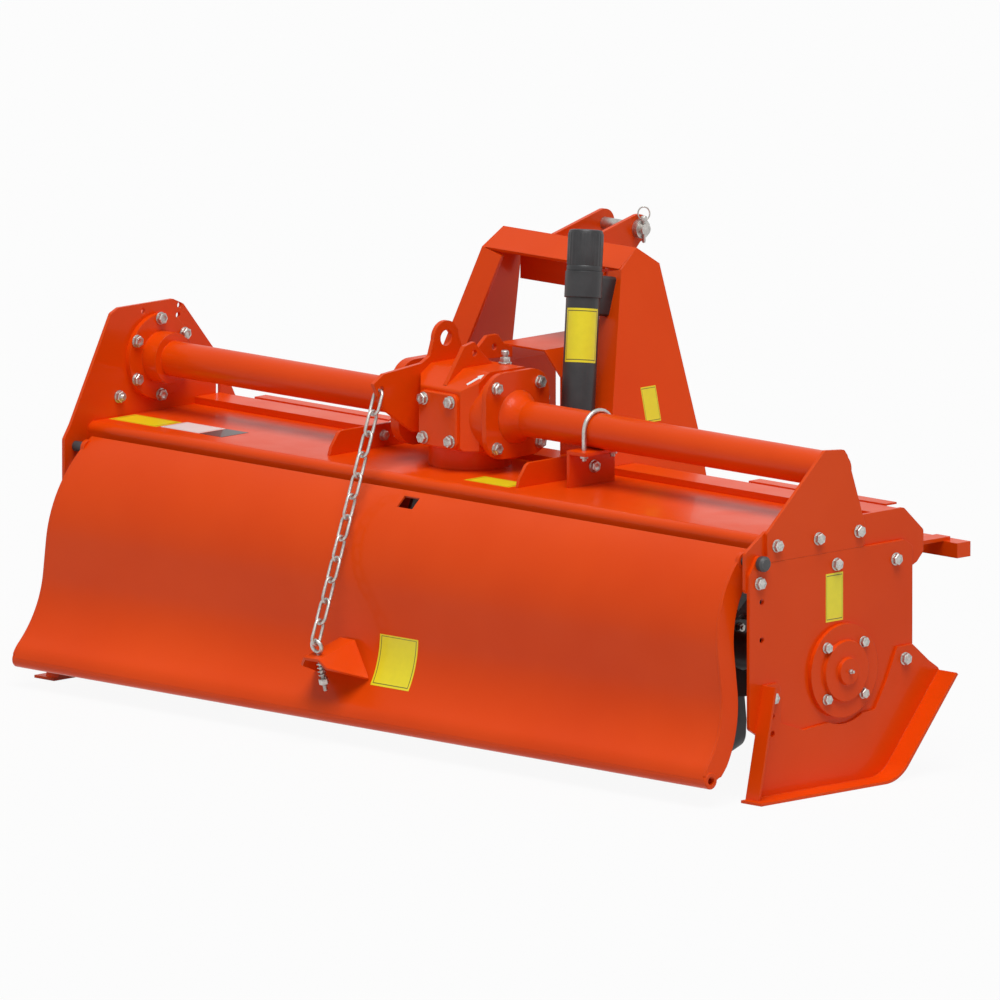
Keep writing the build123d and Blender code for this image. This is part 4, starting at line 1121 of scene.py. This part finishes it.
def makePlates(s):
    for name, (left, right, back, front, tone) in s["hood"].items():
        flatSheet(name, [[at(x, f, s["hoodUp"]) for x in (left, right)] for f in (back, front)], upward, tone)
    back, front, foot, top = s["side"]
    rows = [[at(faceRight, f, u) for f in (back, front)] for u in (foot, top)]
    flatSheet("sidePlateYellow", rows, rightward, "yellow")

    left, right, foot, top = s["board"]
    rings = [curvePoint(top), *[row for row in boardCurve if foot < row[1] < top], curvePoint(foot)][::-1]
    rows = [[at(x, f, u) for x in (left, right)] for f, u, n in rings]
    gridSheet("tailboardYellow", rows, [[Vector((0, -n[0], -n[1]))] * 2 for f, u, n in rings], "yellow", "board")

    start, end, spread = s["canister"]
    foot, axis = at(*canisterSettings["foot"]), Vector(canisterSettings["axis"]).normalized()
    facing = Vector(s["canisterFacing"])
    facing = (facing - axis * facing.dot(axis)).normalized()
    over = axis.cross(facing)
    angles = [math.radians(spread) * (k / 12 - 1) for k in range(25)]
    around = [facing * math.cos(a) + over * math.sin(a) for a in angles]
    rows = [[foot + axis * t + d * canisterSettings["bodyRadius"] for d in around] for t in (start, end)]
    gridSheet("canisterYellow", rows, [around, around], "yellow", "frame")

    back, front, foot, top = s["leg"]
    right, up = s["legTop"]
    lean = s["legLean"]
    rows = [[at(right + (up - u) * lean, f, u) for f in (back, front)] for u in (foot, top)]
    flatSheet("mastYellow", rows, Vector((1, 0, lean)).normalized(), "yellow")


makePlates(plateSettings)

# White arrow lying on the casting's sloping back; the slope is its height where forward is 0, and its rise
arrowSettings = {
    "tail": (0.006, -0.086),
    "head": (0.026, -0.054),
    "shaft": 0.0035,
    "wing": 0.0085,
    "wingLength": 0.013,
    "slope": (0.547835, 0.627),
    "depth": (-0.0004, 0.0008),
}


def makeArrow(s):
    level, rise = s["slope"]
    tail, head = [at(x, f, level + rise * f) for x, f in (s["tail"], s["head"])]
    out = Vector((0, -rise, 1)).normalized()
    along = (head - tail).normalized()
    wide = along.cross(out)
    neck = head - along * s["wingLength"]
    outline = [tail + wide * s["shaft"], neck + wide * s["shaft"], neck + wide * s["wing"], head,
               neck - wide * s["wing"], neck - wide * s["shaft"], tail - wide * s["shaft"]]
    bm = bmesh.new()
    loft(bm, [[bm.verts.new(p + out * h) for p in outline] for h in s["depth"]])
    bm.loops.layers.uv.new("sheet")
    piece("castingArrow", bm, "white", "frame")


makeArrow(arrowSettings)
print("plates placed")


# Studio: pale floor that stays white to the camera and to reflections, an even dome and one soft sun
studioSettings = {
    "floorSize": 240.0,
    "floorColour": (0.62, 0.62, 0.62),
    "floorRoughness": 0.9,
    "floorGlow": 0.93,
    "dome": 0.27,
    "backdrop": 1.0,
    "sun": 2.35,
    "sunSoftness": 40.0,
    "sunFrom": (0.30, -0.22, 0.93),
}


def makeFloor(s):
    bm = bmesh.new()
    bmesh.ops.create_grid(bm, x_segments=8, y_segments=8, size=s["floorSize"] / 2)
    mesh = bpy.data.meshes.new("floor")
    bm.to_mesh(mesh)
    bm.free()
    floor = bpy.data.objects.new("floor", mesh)
    bpy.context.collection.objects.link(floor)
    material, nodes, links, shader = newMaterial("floorPaper")
    shader.inputs["Base Color"].default_value = (*s["floorColour"], 1)
    shader.inputs["Roughness"].default_value = s["floorRoughness"]
    glow = nodes.new("ShaderNodeEmission")
    mix = nodes.new("ShaderNodeMixShader")
    links.new(mathNode(nodes, links, "MULTIPLY", drawnRays(nodes, links), s["floorGlow"]), mix.inputs["Fac"])
    links.new(shader.outputs["BSDF"], mix.inputs[1])
    links.new(glow.outputs["Emission"], mix.inputs[2])
    links.new(mix.outputs["Shader"], nodes["Material Output"].inputs["Surface"])
    mesh.materials.append(material)


def makeLight(s):
    world = bpy.data.worlds.new("studioWorld")
    bpy.context.scene.world = world
    world.use_nodes = True
    nodes, links = world.node_tree.nodes, world.node_tree.links
    dome = nodes["Background"]
    dome.inputs["Color"].default_value = (1, 1, 1, 1)
    dome.inputs["Strength"].default_value = s["dome"]
    backdrop = nodes.new("ShaderNodeBackground")
    backdrop.inputs["Strength"].default_value = s["backdrop"]
    chooser = nodes.new("ShaderNodeMixShader")
    links.new(drawnRays(nodes, links), chooser.inputs["Fac"])
    links.new(dome.outputs["Background"], chooser.inputs[1])
    links.new(backdrop.outputs["Background"], chooser.inputs[2])
    links.new(chooser.outputs["Shader"], nodes["World Output"].inputs["Surface"])

    data = bpy.data.lights.new("softSun", "SUN")
    data.energy, data.angle = s["sun"], math.radians(s["sunSoftness"])
    lamp = bpy.data.objects.new("softSun", data)
    lamp.rotation_euler = (-Vector(s["sunFrom"])).to_track_quat("-Z", "Y").to_euler()
    bpy.context.collection.objects.link(lamp)


makeFloor(studioSettings)
makeLight(studioSettings)
print("studio lit")
